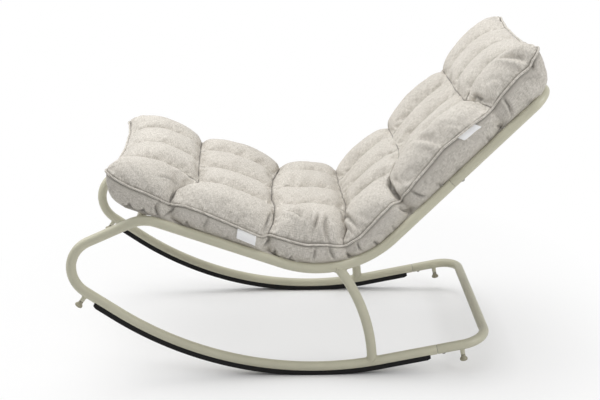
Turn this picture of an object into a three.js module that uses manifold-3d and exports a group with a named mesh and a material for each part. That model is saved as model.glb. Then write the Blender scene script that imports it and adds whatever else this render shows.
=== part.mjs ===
// Outdoor rocking chair: two bent-tube side loops stand on rubber-soled rockers and carry a
// loose quilted cushion. A back hoop and a rear stabiliser plug onto the loops' ends, cross
// tubes tie the loops together, and a screw-in stop foot at each rocker end limits the rock.
// Millimetres, +Z up. The chair faces -X, and the sitter's left side is at -Y.
import * as THREE from 'three';
import { mergeVertices } from 'three/addons/utils/BufferGeometryUtils.js';
import Module from 'manifold-3d';

const wasm = await Module();
wasm.setup();

// Frame tubes
const tubeDiameter = 28;
const tubeWall = 1.5;
const crossDiameter = 25;
const crossWall = 1.5;
const frameWidth = 600; // centre to centre of the side loops

// Rocker, the lowest stretch of a side loop; its rises are degrees from the lowest point
const rockerRadius = 957;
const rearRise = 11.2;
const frontRise = 35.5;
const tailLength = 161;
const noseLength = 102;

// Front of a side loop, from the rocker's nose up to the seat
const chinRadius = 86;
const riserSlope = 24.2;
const riserLength = 127;
const kneeRadius = 98.7;

// Seat and back rails
const seatSlope = 19.75;
const seatLength = 359.5;
const hipRadius = 292.7;
const backSlope = 45.5;
const backLength = 220;

// Back hoop and rear stabiliser; a reach runs from the joint to the far tube's centre
const hoopReach = 345;
const hoopRadius = 50;
const stabiliserReach = 147;
const stabiliserRadius = 72;

// Brace from the rocker to the hip bend; each angle is that of the tube it meets
const braceRadius = 509;
const braceFootRise = 9.6;
const braceHeadRise = 10.8;

// Cross tubes: the front one at its rise on the knee bend, the others as shares of a rail
const frontTubeRise = 6.75;
const seatTubeShare = 0.5;
const hipTubeShare = 0.62;
const backTubeShare = 0.5;

// Joints of the plugged tubes
const spigotWall = 2;
const spigotDepth = 35;
const spigotReach = 40;
const backScrewPlace = 27;
const rearScrewPlace = 18;
const screwDiameter = 6;
const screwHeadDiameter = 10.5;
const screwHeadHeight = 3.2;
const screwGrip = 3.5; // shank past the tube wall
const screwRimShare = 0.4; // of the head's height
const screwCrownShare = 0.6; // of the head's width

// Rubber tread under a rocker
const treadWidth = 23;
const treadDepth = 10;
const treadRestLength = 130; // stretch pressed flat where the chair stands
const treadTail = 139.5;
const treadNose = 64;

// Stop feet
const frontFootPlace = 97;
const rearFootPlace = 71;
const bossDiameter = 13;
const bossBore = 9.4;
const bossLength = 15;
const studDiameter = 8;
const studGrip = 13; // thread inside the boss
const studSeat = 8; // stud inside the pad
const footGap = 1.5; // thread showing between boss and pad
const padNeckDiameter = 12.5;
const padDiameter = 22;
const padHeight = 17;
const padRim = 4;
const padNeckLength = 5.7;
const padFlare = 2;
const padChamfer = 1.3;

// Cushion, measured along its underside from the rear end of the knee bend
const cushionWidth = 600;
const cushionFront = -178;
const cushionLength = 1488;
const soleFront = -75;
const soleLength = 1315;
const gussetHeight = 54;
const crestHeight = 134; // top of a channel over the sole
const seamHeight = 100; // stitched seam between rows over the sole
const sideDraw = 10;
const endDraw = 26;
const gussetBulge = 8;
const rowShares = [0.1465, 0.1828, 0.1626, 0.1573, 0.1989, 0.1519];
const edgeHeightShares = [1.35, 0.96, 0.93, 0.62, 0.65, 1.15, 1.6];
const endLiftPower = 4;
const channelPower = 2.6;
const columnDipShare = 0.4;
const edgeRoundPower = 6;
const endRoundPower = 24;
const gussetFullnessPower = 0.3;

// Fits
const weldGap = 0.3;
const plugGap = 0.3;
const jointGap = 0.3;
const seatGap = 0.3;
const screwGap = 0.4;
const studGap = 0.3;
const cushionGap = 0.3;

// Facets: sides round a tube, and degrees to a facet along a bend
const tubeSides = 12;
const footSides = 16;
const rockerFacet = 2.6;
const bendFacet = 11;
const hipFacet = 6.6;
const braceFacet = 5;
const cornerFacet = 15;
const columns = 4;
const stepsPerRow = 5;
const stepsPerColumn = 4;
const gussetSteps = 2;

const tubeRadius = tubeDiameter / 2;
const half = frameWidth / 2;
const xAxis = new THREE.Vector3(1, 0, 0);
const yAxis = new THREE.Vector3(0, 1, 0);
const zAxis = new THREE.Vector3(0, 0, 1);
const radians = THREE.MathUtils.degToRad;

// Finishes
const paint = new THREE.MeshStandardMaterial({ color: '#c9c7ae', roughness: 0.42, metalness: 0 });
const innerSteel = new THREE.MeshStandardMaterial({ color: '#8c8d88', roughness: 0.5, metalness: 0.8 });
const boltSteel = new THREE.MeshStandardMaterial({ color: '#a3a39d', roughness: 0.3, metalness: 1 });
const treadRubber = new THREE.MeshStandardMaterial({ color: '#151313', roughness: 0.85, metalness: 0 });
const padPlastic = new THREE.MeshStandardMaterial({ color: '#a9a48c', roughness: 0.6, metalness: 0 });
const cloth = new THREE.MeshStandardMaterial({ color: '#d6d1c7', roughness: 0.95, metalness: 0 });

/** A centreline of straights and bends in one plane, with a station at each facet. */
class Route extends THREE.Curve {
  constructor(start, heading, axle) {
    super();
    this.axle = axle.clone().normalize();
    this.stations = [start.clone()];
    this.headings = [heading.clone().normalize()];
  }

  get end() {
    return this.stations.at(-1);
  }

  get heading() {
    return this.headings.at(-1);
  }

  get steps() {
    return this.stations.length - 1;
  }

  /** Runs straight on for a length. */
  straight(length) {
    this.stations.push(this.end.clone().addScaledVector(this.heading, length));
    this.headings.push(this.heading.clone());
    return this;
  }

  /** Turns about the axle by so many degrees, in facets of at most facetAngle. */
  bend(radius, degrees, facetAngle) {
    const facets = Math.ceil(Math.abs(degrees) / facetAngle);
    const turn = radians(degrees) / facets;
    const spoke = this.axle.clone().cross(this.heading).multiplyScalar(radius * Math.sign(degrees));
    const centre = this.end.clone().add(spoke);
    for (let facet = 0; facet < facets; facet += 1) {
      const arm = this.end.clone().sub(centre).applyAxisAngle(this.axle, turn);
      this.headings.push(this.heading.clone().applyAxisAngle(this.axle, turn));
      this.stations.push(arm.add(centre));
    }
    return this;
  }

  getPointAt(share, target = new THREE.Vector3()) {
    return target.copy(this.stations[Math.round(share * this.steps)]);
  }

  getTangentAt(share, target = new THREE.Vector3()) {
    return target.copy(this.headings[Math.round(share * this.steps)]);
  }
}

/** A regular polygon with a flat side down, its corners on a circle. */
function ring(radius, sides = tubeSides) {
  const corner = Math.PI / sides;
  return Array.from({ length: sides }, (_, side) => {
    const angle = corner + 2 * corner * side;
    return new THREE.Vector2(radius * Math.cos(angle), radius * Math.sin(angle));
  });
}

/** Sweeps an outline, with a bore if it has one, along a route. */
function sweep(route, outline, bore = null) {
  const shape = new THREE.Shape(outline);
  if (bore) {
    shape.holes.push(new THREE.Path(bore));
  }
  return new THREE.ExtrudeGeometry(shape, { steps: route.steps, extrudePath: route, bevelEnabled: false });
}

function tube(route, diameter, wall) {
  return sweep(route, ring(diameter / 2), ring(diameter / 2 - wall));
}

function rod(route, diameter) {
  return sweep(route, ring(diameter / 2));
}

/** A turned piece; points run from the axis round the outside and back to the axis. */
function turned(points, sides = footSides) {
  return new THREE.LatheGeometry(points.map(([radius, height]) => new THREE.Vector2(radius, height)), sides);
}

/** A closed geometry as a solid that can be joined and cut. */
function toSolid(geometry) {
  const bare = geometry.clone();
  bare.deleteAttribute('normal');
  bare.deleteAttribute('uv');
  const merged = mergeVertices(bare);
  const mesh = new wasm.Mesh({
    numProp: 3,
    vertProperties: merged.attributes.position.array,
    triVerts: Uint32Array.from(merged.index.array),
  });
  return new wasm.Manifold(mesh);
}

/** Cuts one geometry by others. */
function cut(geometry, ...cutters) {
  const solid = cutters.reduce((left, cutter) => left.subtract(toSolid(cutter)), toSolid(geometry));
  const mesh = solid.getMesh();
  const result = new THREE.BufferGeometry();
  result.setAttribute('position', new THREE.BufferAttribute(mesh.vertProperties, mesh.numProp));
  result.setIndex(new THREE.BufferAttribute(mesh.triVerts, 1));
  result.computeVertexNormals();
  return result;
}

// Side loop: from the rear joint along the rocker, round the chin and knee, to the back joint
const outerRadius = rockerRadius + tubeRadius + treadDepth;
const restAngle = THREE.MathUtils.radToDeg(Math.asin(treadRestLength / 2 / outerRadius));
const rockerCentre = zAxis.clone().multiplyScalar(outerRadius * Math.cos(radians(restAngle)));

/** The place on the rocker's centreline at a rise, in degrees back from the lowest point. */
function rockerPlace(rise) {
  return zAxis.clone().multiplyScalar(-rockerRadius).applyAxisAngle(yAxis, -radians(rise)).add(rockerCentre);
}

/** The way back along a rail that rises by so many degrees to the rear. */
function backward(rise) {
  return xAxis.clone().applyAxisAngle(yAxis, -radians(rise));
}

/** Adds the rocker's arc to a route, with a station at each end of the pressed stretch. */
function addRocker(route) {
  return route
    .bend(rockerRadius, rearRise - restAngle, rockerFacet)
    .bend(rockerRadius, 2 * restAngle, rockerFacet)
    .bend(rockerRadius, frontRise - restAngle, rockerFacet);
}

const arcRear = rockerPlace(rearRise);
const rearJoint = arcRear.clone().addScaledVector(backward(rearRise), tailLength);
const loop = new Route(rearJoint, backward(rearRise).negate(), yAxis).straight(tailLength);
const noseStart = addRocker(loop).end.clone();
loop.straight(noseLength);
loop.bend(chinRadius, 180 - frontRise - riserSlope, bendFacet).straight(riserLength);
const kneeStart = { place: loop.end.clone(), heading: loop.heading.clone() };
loop.bend(kneeRadius, riserSlope + seatSlope, bendFacet);
const seatStart = loop.end.clone();
loop.straight(seatLength);
const hipStart = loop.end.clone();
loop.bend(hipRadius, -(seatSlope + backSlope), hipFacet);
const backStart = loop.end.clone();
loop.straight(backLength);
const backJoint = loop.end.clone();
const loopTube = tube(loop, tubeDiameter, tubeWall);

/** The centre of a bend that a route starts at a place, turning about the Y axis. */
function bendCentre(place, heading, signedRadius) {
  return place.clone().addScaledVector(yAxis.clone().cross(heading), signedRadius);
}

/** The space round a tube that its welded neighbours are cut back from. */
function clearance(route) {
  return rod(route, tubeDiameter + 2 * weldGap);
}

const loopClearance = clearance(loop);
const kneeCentre = bendCentre(kneeStart.place, kneeStart.heading, kneeRadius);
const hipCentre = bendCentre(hipStart, backward(-seatSlope), -hipRadius);

/** A place on the hip bend's centreline, where the rail rises by so many degrees. */
function hipPlace(rise) {
  return zAxis.clone().multiplyScalar(-hipRadius).applyAxisAngle(yAxis, -radians(rise)).add(hipCentre);
}

const chair = new THREE.Group();

function add(name, geometry, material, place = new THREE.Vector3(), axis = null) {
  const mesh = new THREE.Mesh(geometry, material);
  mesh.name = name;
  mesh.position.copy(place);
  if (axis) {
    mesh.quaternion.setFromUnitVectors(yAxis, axis);
  }
  chair.add(mesh);
}

/** Adds a piece of a side to both sides of the chair. */
function addPair(name, geometry, material, place = new THREE.Vector3(), axis = null) {
  add(`${name}_left`, geometry, material, place.clone().addScaledVector(yAxis, -half), axis);
  add(`${name}_right`, geometry, material, place.clone().addScaledVector(yAxis, half), axis);
}

// Side loops and their braces
addPair('side_loop', loopTube, paint);

const braceFoot = rockerPlace(braceFootRise);
const braceHead = hipPlace(braceHeadRise);
const braceWay = braceHead.clone().sub(braceFoot);
const braceHalfTurn = Math.asin(braceWay.length() / 2 / braceRadius);
const braceRoute = new Route(braceFoot, braceWay.applyAxisAngle(yAxis, braceHalfTurn), yAxis)
  .bend(braceRadius, -2 * THREE.MathUtils.radToDeg(braceHalfTurn), braceFacet);
addPair('brace', cut(tube(braceRoute, tubeDiameter, tubeWall), loopClearance), paint);

// Cross tubes, coped to the inner sides of the loops
function crossTube(name, place) {
  const route = new Route(place.clone().addScaledVector(yAxis, -half), yAxis, zAxis).straight(frameWidth);
  const leftSide = loopClearance.clone().translate(0, -half, 0);
  const rightSide = loopClearance.clone().translate(0, half, 0);
  add(name, cut(tube(route, crossDiameter, crossWall), leftSide, rightSide), paint);
}

const frontTube = zAxis.clone().multiplyScalar(kneeRadius).applyAxisAngle(yAxis, -radians(frontTubeRise));
crossTube('front_cross_tube', frontTube.add(kneeCentre));
crossTube('seat_cross_tube', seatStart.clone().lerp(hipStart, seatTubeShare));
crossTube('hip_cross_tube', hipPlace(-seatSlope + hipTubeShare * (seatSlope + backSlope)));
crossTube('back_cross_tube', backStart.clone().lerp(backJoint, backTubeShare));

// Back hoop and rear stabiliser: each a U whose legs carry on from the side loops' ends
function uRoute(joint, rise, reach, radius) {
  const heading = backward(rise);
  const start = joint.clone().addScaledVector(heading, jointGap).addScaledVector(yAxis, -half);
  return new Route(start, heading, heading.clone().cross(yAxis))
    .straight(reach - radius - jointGap)
    .bend(radius, 90, cornerFacet)
    .straight(frameWidth - 2 * radius)
    .bend(radius, 90, cornerFacet)
    .straight(reach - radius - jointGap);
}

/** The outward way under a rail that rises by so many degrees to the rear. */
function under(rise) {
  return zAxis.clone().negate().applyAxisAngle(yAxis, -radians(rise));
}

// A regular tube's flat lies this share of its corner radius from the centre
const flatShare = Math.cos(Math.PI / tubeSides);
const screwSeat = tubeRadius * flatShare + seatGap;

/** The screw hole through the underside of a leg and its spigot. */
function screwHole(joint, rise, place) {
  const centre = joint.clone().addScaledVector(backward(rise), place);
  const route = new Route(centre, under(rise), yAxis).straight(tubeDiameter);
  return rod(route, screwDiameter + 2 * screwGap);
}

/** A dome-headed screw, with Y = 0 on the tube's centreline and its head outward. */
function screw() {
  const shank = screwDiameter / 2;
  const head = screwHeadDiameter / 2;
  const tip = screwSeat - seatGap - tubeWall - screwGrip;
  const crown = screwSeat + screwHeadHeight;
  return turned([
    [0, tip],
    [shank, tip],
    [shank, screwSeat],
    [head, screwSeat],
    [head, screwSeat + screwHeadHeight * screwRimShare],
    [head * screwCrownShare, crown],
    [0, crown],
  ], tubeSides);
}

/** Adds a U, the spigots that plug it onto the side loops, and the screws that hold it. */
function addHoop(name, corner, joint, rise, reach, radius, screwPlace) {
  const route = uRoute(joint, rise, reach, radius);
  const hole = screwHole(joint, rise, screwPlace);
  const leftHole = hole.clone().translate(0, -half, 0);
  const rightHole = hole.clone().translate(0, half, 0);
  add(name, cut(tube(route, tubeDiameter, tubeWall), leftHole, rightHole), paint);

  const spigotStart = joint.clone().addScaledVector(backward(rise), -spigotDepth);
  const spigotRoute = new Route(spigotStart, backward(rise), yAxis).straight(spigotDepth + spigotReach);
  const spigotDiameter = tubeDiameter - 2 * tubeWall - 2 * plugGap;
  addPair(`${corner}_spigot`, cut(tube(spigotRoute, spigotDiameter, spigotWall), hole), innerSteel);
  addPair(`${corner}_screw`, screw(), boltSteel, joint.clone().addScaledVector(backward(rise), screwPlace),
    under(rise));
  return route;
}

addHoop('back_hoop', 'back', backJoint, backSlope, hoopReach, hoopRadius, backScrewPlace);
const stabiliser = addHoop('rear_stabiliser', 'rear', rearJoint, rearRise, stabiliserReach, stabiliserRadius,
  rearScrewPlace);

// Rubber tread: a saddle under the rocker, pressed flat where it stands on the ground
function treadOutline() {
  const side = treadWidth / 2;
  const bed = tubeRadius + seatGap;
  const sole = -(tubeRadius + treadDepth);
  const shoulder = -Math.sqrt(Math.max(0, bed ** 2 - side ** 2));
  const saddle = ring(bed).filter((corner) => corner.y < shoulder);
  return [
    new THREE.Vector2(-side, sole),
    new THREE.Vector2(side, sole),
    new THREE.Vector2(side, shoulder),
    ...saddle.sort((one, other) => other.x - one.x),
    new THREE.Vector2(-side, shoulder),
  ];
}

const treadStart = arcRear.clone().addScaledVector(backward(rearRise), treadTail);
const treadRoute = new Route(treadStart, backward(rearRise).negate(), yAxis).straight(treadTail);
addRocker(treadRoute).straight(treadNose);
const tread = sweep(treadRoute, treadOutline());
const treadPoints = tread.attributes.position;
for (let corner = 0; corner < treadPoints.count; corner += 1) {
  treadPoints.setZ(corner, Math.max(0, treadPoints.getZ(corner)));
}
addPair('rocker_tread', tread, treadRubber);

// Stop feet: a welded boss, a stud that screws into it, and the pad moulded round the stud
const bossEnd = tubeRadius + bossLength;
const padTop = bossEnd + footGap;
const padEnd = padTop + padHeight;

function pad() {
  const bore = studDiameter / 2 + studGap;
  const neck = padNeckDiameter / 2;
  const rim = padDiameter / 2;
  const seat = padTop + studSeat + studGap;
  return turned([
    [0, seat],
    [bore, seat],
    [bore, padTop],
    [neck, padTop],
    [neck, padTop + padNeckLength],
    [(neck + rim) / 2, padEnd - padRim - padFlare],
    [rim, padEnd - padRim],
    [rim, padEnd - padChamfer],
    [rim - padChamfer, padEnd],
    [0, padEnd],
  ]);
}

/** Adds a stop foot to both sides, at a place on the centreline of a tube and square to it. */
function addFeet(name, place, outward, carrier) {
  const bossRoute = new Route(place, outward, yAxis).straight(bossEnd);
  const bossWall = (bossDiameter - bossBore) / 2;
  addPair(`${name}_foot_boss`, cut(tube(bossRoute, bossDiameter, bossWall), carrier), paint);
  addPair(`${name}_foot_pad`, pad(), padPlastic, place, outward);
  const studTop = bossEnd - studGrip;
  const studEnd = padTop + studSeat;
  const radius = studDiameter / 2;
  const stud = turned([[0, studTop], [radius, studTop], [radius, studEnd], [0, studEnd]], tubeSides);
  addPair(`${name}_foot_stud`, stud, boltSteel, place, outward);
}

const frontFoot = noseStart.clone().addScaledVector(backward(-frontRise), -frontFootPlace);
addFeet('front', frontFoot, under(-frontRise), loopClearance);
const rearFoot = rearJoint.clone().addScaledVector(backward(rearRise), rearFootPlace);
addFeet('rear', rearFoot, under(rearRise), clearance(stabiliser).translate(0, half, 0));

// Cushion: rows of sewn channels on a sole that follows the seat, hip and back rails
const soleGauge = tubeRadius + cushionGap;
const hipArc = (hipRadius - soleGauge) * radians(seatSlope + backSlope);

/** A point at a distance along the cushion's sole and a height over it, at a width from the middle. */
function cushionPoint(along, height, width) {
  const gauge = soleGauge + height;
  const point = new THREE.Vector3();
  if (along < seatLength) {
    point.copy(seatStart).addScaledVector(backward(-seatSlope), along).addScaledVector(under(-seatSlope), -gauge);
  } else if (along < seatLength + hipArc) {
    const rise = -radians(seatSlope) + (along - seatLength) / (hipRadius - soleGauge);
    point.copy(zAxis).multiplyScalar(gauge - hipRadius).applyAxisAngle(yAxis, -rise).add(hipCentre);
  } else {
    point.copy(backStart).addScaledVector(backward(backSlope), along - seatLength - hipArc);
    point.addScaledVector(under(backSlope), -gauge);
  }
  return point.setY(width);
}

/** Where a share of the way along lies: its row, how far through that row, and its share of the length. */
function rowPlace(share) {
  const through = share * rowShares.length;
  const row = Math.min(Math.floor(through), rowShares.length - 1);
  const before = rowShares.slice(0, row).reduce((sum, rowShare) => sum + rowShare, 0);
  return { row, part: through - row, reached: before + rowShares[row] * (through - row) };
}

/** The height of the edge seam over the sole; it turns up sharply towards both ends. */
function edgeHeight(row, part) {
  const eased = row === 0 ? 1 - (1 - part) ** endLiftPower : part;
  const share = row === rowShares.length - 1 ? part ** endLiftPower : eased;
  return gussetHeight * THREE.MathUtils.lerp(edgeHeightShares[row], edgeHeightShares[row + 1], share);
}

/** A channel's swell between two seams: 0 on both, 1 in the middle. */
function swell(part) {
  return 1 - Math.abs(2 * part - 1) ** channelPower;
}

/** The height of the top over the sole: channels between the seams, rounded down to the edge seam. */
function topHeight(place, across) {
  const column = (across + 1) / 2 * columns;
  const columnSwell = swell(column - Math.min(Math.floor(column), columns - 1));
  const rise = (crestHeight - seamHeight) * swell(place.part) * (1 - columnDipShare * (1 - columnSwell));
  const ends = 1 - Math.abs(2 * place.reached - 1) ** endRoundPower;
  const sides = 1 - Math.abs(across) ** edgeRoundPower;
  return THREE.MathUtils.lerp(edgeHeight(place.row, place.part), seamHeight + rise, ends * sides);
}

/** One corner of the cushion, from shares along and up and a place across from -1 to 1. */
function cushionCorner(alongShare, across, upShare) {
  const place = rowPlace(alongShare);
  const fullness = upShare ** gussetFullnessPower;
  const bow = endDraw * (1 - across ** 2) * upShare;
  const top = THREE.MathUtils.lerp(cushionFront + bow, cushionFront + cushionLength - bow, place.reached);
  const sole = soleFront + soleLength * place.reached;
  const drawn = sideDraw * (1 - swell(place.part)) * upShare;
  const bulge = gussetBulge * Math.sin(Math.PI * upShare);
  const edge = edgeHeight(place.row, place.part) * upShare;
  const height = upShare === 1 ? topHeight(place, across) : edge;
  const width = across * (cushionWidth / 2 - drawn + bulge);
  return cushionPoint(THREE.MathUtils.lerp(sole, top, fullness), height, width);
}

const cushionForm = mergeVertices(new THREE.BoxGeometry(1, 1, 1, rowShares.length * stepsPerRow,
  columns * stepsPerColumn, gussetSteps).deleteAttribute('normal').deleteAttribute('uv'));
const cushionCorners = cushionForm.attributes.position;
for (let corner = 0; corner < cushionCorners.count; corner += 1) {
  const across = 2 * cushionCorners.getY(corner);
  const upShare = cushionCorners.getZ(corner) + 1 / 2;
  const point = cushionCorner(cushionCorners.getX(corner) + 1 / 2, across, upShare);
  cushionCorners.setXYZ(corner, point.x, point.y, point.z);
}
cushionForm.computeVertexNormals();
add('cushion', cushionForm, cloth);

// The origin lies on the ground, under the middle of the whole chair
const extent = new THREE.Box3().setFromObject(chair, true);
chair.position.x = -(extent.min.x + extent.max.x) / 2;

export default chair;
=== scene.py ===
"""Visual model of the outdoor rocking chair: bent-tube frame, stop feet and quilted cushion.

Metres, +Z up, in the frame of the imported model. The chair faces -X and the sitter's left is at -Y.
Sizes are named values in millimetres times MM, and slopes, rises and turns are in degrees. The
cushion's tables of seams, crests and folds are in millimetres.
"""
import logging
import math
from collections.abc import Iterable
from dataclasses import dataclass, field
from enum import Enum

import bpy
import numpy as np
from mathutils import Matrix, Vector, noise
from mathutils.bvhtree import BVHTree

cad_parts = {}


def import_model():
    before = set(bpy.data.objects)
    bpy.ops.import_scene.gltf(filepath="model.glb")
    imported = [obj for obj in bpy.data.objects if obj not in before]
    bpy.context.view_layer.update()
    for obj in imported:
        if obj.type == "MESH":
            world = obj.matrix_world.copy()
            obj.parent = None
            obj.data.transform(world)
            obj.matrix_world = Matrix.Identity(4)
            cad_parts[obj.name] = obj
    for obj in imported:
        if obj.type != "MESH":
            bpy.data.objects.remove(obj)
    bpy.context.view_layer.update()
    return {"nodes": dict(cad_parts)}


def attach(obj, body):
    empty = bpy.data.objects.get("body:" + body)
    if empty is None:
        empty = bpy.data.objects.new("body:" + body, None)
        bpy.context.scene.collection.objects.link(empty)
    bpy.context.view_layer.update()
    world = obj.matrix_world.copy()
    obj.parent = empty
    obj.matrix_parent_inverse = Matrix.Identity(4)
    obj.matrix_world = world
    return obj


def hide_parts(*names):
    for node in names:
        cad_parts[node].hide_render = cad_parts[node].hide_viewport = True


log = logging.getLogger("rocking_chair")
MM = 0.001
X = Vector((1, 0, 0))
Y = Vector((0, 1, 0))
Array = np.ndarray
Piece = bpy.types.Object
Mesh = bpy.types.Mesh
Material = bpy.types.Material
Socket = bpy.types.NodeSocket
Colour = tuple[int, int, int]
Line = tuple[tuple[float, float], ...]


class Side(Enum):
    """The sitter's sides, as the names of the nodes give them, with their way along Y."""

    LEFT = ("left", -1)
    RIGHT = ("right", 1)

    @property
    def label(self) -> str:
        """The side's word in node names."""
        return self.value[0]

    @property
    def way(self) -> int:
        """-1 on the left and 1 on the right."""
        return self.value[1]


class Slot(Enum):
    """The record's material slots."""

    PAINT = "paint"
    INNER_STEEL = "inner_steel"
    BOLT_STEEL = "bolt_steel"
    RUBBER = "tread_rubber"
    PLASTIC = "pad_plastic"
    CLOTH = "cloth"


# Small tools for objects and their meshes


def deselect() -> None:
    """Leaves nothing selected."""
    bpy.ops.object.select_all(action="DESELECT")


def activate(piece: Piece) -> None:
    """Makes one piece the only selected and the active one.

    Args:
        piece: The piece.
    """
    deselect()
    piece.select_set(True)
    bpy.context.view_layer.objects.active = piece


def add_object(name: str, data: bpy.types.ID) -> Piece:
    """Puts an object with its mesh, curve, lamp or camera into the scene.

    Args:
        name: Its name.
        data: Its mesh, curve, lamp or camera.

    Returns:
        The object.
    """
    made = bpy.data.objects.new(name, data)
    bpy.context.collection.objects.link(made)
    return made


def mesh_piece(name: str, points: Iterable, faces: Iterable, edges: Iterable = ()) -> Piece:
    """Makes a mesh object at the origin from points, faces and loose edges.

    Args:
        name: The piece's name.
        points: Corners in metres.
        faces: Corner numbers of each face, counter-clockwise from outside.
        edges: Corner numbers of edges without faces.

    Returns:
        The new object.
    """
    mesh = bpy.data.meshes.new(name)
    mesh.from_pydata([tuple(p) for p in points], [tuple(e) for e in edges], [tuple(f) for f in faces])
    mesh.update()
    return add_object(name, mesh)


def read_corners(mesh: Mesh, what: str = "co") -> Array:
    """Reads a mesh's corners, or another vector of theirs, such as the normal, one to a row.

    Args:
        mesh: The mesh.
        what: The vector's name.

    Returns:
        The vectors, one to a row.
    """
    values = np.empty(len(mesh.vertices) * 3)
    mesh.vertices.foreach_get(what, values)
    return values.reshape(-1, 3)


def write_corners(mesh: Mesh, points: Array) -> None:
    """Moves a mesh's corners to new places, one to a row."""
    mesh.vertices.foreach_set("co", points.ravel())
    mesh.update()


def lay_flat(mesh: Mesh, flat: Array) -> None:
    """Gives a mesh its only UV map, weave, which places its corners on the cloth.

    Args:
        mesh: The mesh.
        flat: The place on the cloth of each corner, in metres.
    """
    while mesh.uv_layers:
        mesh.uv_layers.remove(mesh.uv_layers[0])
    weave = mesh.uv_layers.new(name="weave")
    corners = np.empty(len(mesh.loops), dtype=int)
    mesh.loops.foreach_get("vertex_index", corners)
    weave.data.foreach_set("uv", flat[corners].ravel())


def apply_modifier(piece: Piece, kind: str, **settings: object) -> None:
    """Adds a modifier with its settings and applies it.

    Args:
        piece: The object it works on.
        kind: Blender's type of modifier.
        settings: Its settings by name.
    """
    activate(piece)
    modifier = piece.modifiers.new(kind.title(), kind)
    for key, value in settings.items():
        setattr(modifier, key, value)
    bpy.ops.object.modifier_apply(modifier=modifier.name)


def smooth(piece: Piece, degrees: float = 35) -> None:
    """Shades a piece smooth where its faces meet at less than an angle."""
    activate(piece)
    bpy.ops.object.shade_smooth_by_angle(angle=math.radians(degrees))


def outward(piece: Piece, merge: float = 0.001 * MM) -> None:
    """Merges doubles, unless the distance is zero, and turns all faces outwards.

    Args:
        piece: The piece.
        merge: How near doubles lie.
    """
    activate(piece)
    bpy.ops.object.mode_set(mode="EDIT")
    bpy.ops.mesh.select_all(action="SELECT")
    if merge:
        bpy.ops.mesh.remove_doubles(threshold=merge)
    bpy.ops.mesh.normals_make_consistent(inside=False)
    bpy.ops.object.mode_set(mode="OBJECT")


def join(name: str, pieces: list[Piece]) -> Piece:
    """Joins pieces into the first one, under a name.

    Args:
        name: The joined piece's name.
        pieces: The pieces.

    Returns:
        The joined piece.
    """
    activate(pieces[0])
    for piece in pieces[1:]:
        piece.select_set(True)
    bpy.ops.object.join()
    pieces[0].name = name
    pieces[0].data.name = name
    return pieces[0]


def even_spacing(points: Array, step: float, closed: bool) -> Array:
    """Puts points at an even spacing on a smooth line through given ones.

    Args:
        points: Points that the line passes through.
        step: The wanted spacing.
        closed: Whether the line closes on itself.

    Returns:
        The evenly spaced points.
    """
    cuts, fewest = 8, 4
    count = len(points)
    ring = np.arange(-1, count + 2) % count if closed else np.clip(np.arange(-1, count + 1), 0, count - 1)
    p = points[ring]
    dense = []
    for i in range(len(p) - 3):
        t = np.linspace(0, 1, cuts, endpoint=False)[:, None]
        a, b, c, d = p[i:i + 4]
        dense.append(0.5 * (2 * b + (c - a) * t + (2 * a - 5 * b + 4 * c - d) * t ** 2
                            + (3 * b - a - 3 * c + d) * t ** 3))
    line = np.vstack([*dense, p[-2][None]])
    lengths = np.concatenate([[0], np.cumsum(np.linalg.norm(np.diff(line, axis=0), axis=1))])
    marks = np.linspace(0, lengths[-1], max(fewest, round(lengths[-1] / step)), endpoint=not closed)
    return np.stack([np.interp(marks, lengths, line[:, axis]) for axis in range(3)], axis=1)


def cord_mesh(name: str, points: Array, radii: Array, sides: int) -> Piece:
    """Makes a closed round cord along points, as a bevelled curve turned into a mesh.

    Args:
        name: The piece's name.
        points: Its centreline, whose last point joins the first.
        radii: Its radius at each point.
        sides: Blender's bevel resolution; the section has twice as many sides, plus four.

    Returns:
        The mesh object, its faces outwards and shaded smooth.
    """
    curve = bpy.data.curves.new(name, "CURVE")
    curve.dimensions = "3D"
    curve.bevel_depth = 1.0
    curve.bevel_resolution = sides
    spline = curve.splines.new("POLY")
    spline.points.add(len(points) - 1)
    for knot, point, radius in zip(spline.points, points, radii):
        knot.co = (*point, 1)
        knot.radius = radius
    spline.use_cyclic_u = True
    activate(add_object(name, curve))
    bpy.ops.object.convert(target="MESH")
    cord = bpy.context.object
    outward(cord)
    smooth(cord, 60)
    return cord


def quads(rows: int, columns: int, closed: bool) -> list[tuple[int, int, int, int]]:
    """The faces between rows of corners that are numbered row by row.

    Args:
        rows: Rows of faces, one less than rows of corners.
        columns: Corners to a row.
        closed: Whether the last corner of a row joins its first.

    Returns:
        The corner numbers of each face.
    """
    spans = columns if closed else columns - 1
    return [(r * columns + i, r * columns + (i + 1) % columns, (r + 1) * columns + (i + 1) % columns,
             (r + 1) * columns + i) for r in range(rows) for i in range(spans)]


def ring_stack(name: str, place: Vector, axis: Vector, rings: list[tuple[list[float], float]],
               shading: float) -> Piece:
    """Makes a closed piece of rings of corners that are stacked along an axis.

    Args:
        name: The piece's name.
        place: Where height 0 lies.
        axis: The way of the height.
        rings: (radius of each corner, height) of every ring.
        shading: Degrees up to which faces are shaded smooth.

    Returns:
        The closed mesh.
    """
    side = axis.cross(Y).normalized()
    other = axis.cross(side)
    count = len(rings[0][0])
    points = []
    for radii, height in rings:
        for i, radius in enumerate(radii):
            angle = 2 * math.pi * i / count
            points.append(place + axis * height + (side * math.cos(angle) + other * math.sin(angle)) * radius)
    top = (len(rings) - 1) * count
    caps = [tuple(reversed(range(count))), tuple(range(top, top + count))]
    piece = mesh_piece(name, points, quads(len(rings) - 1, count, True) + caps)
    outward(piece)
    smooth(piece, shading)
    return piece


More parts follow.
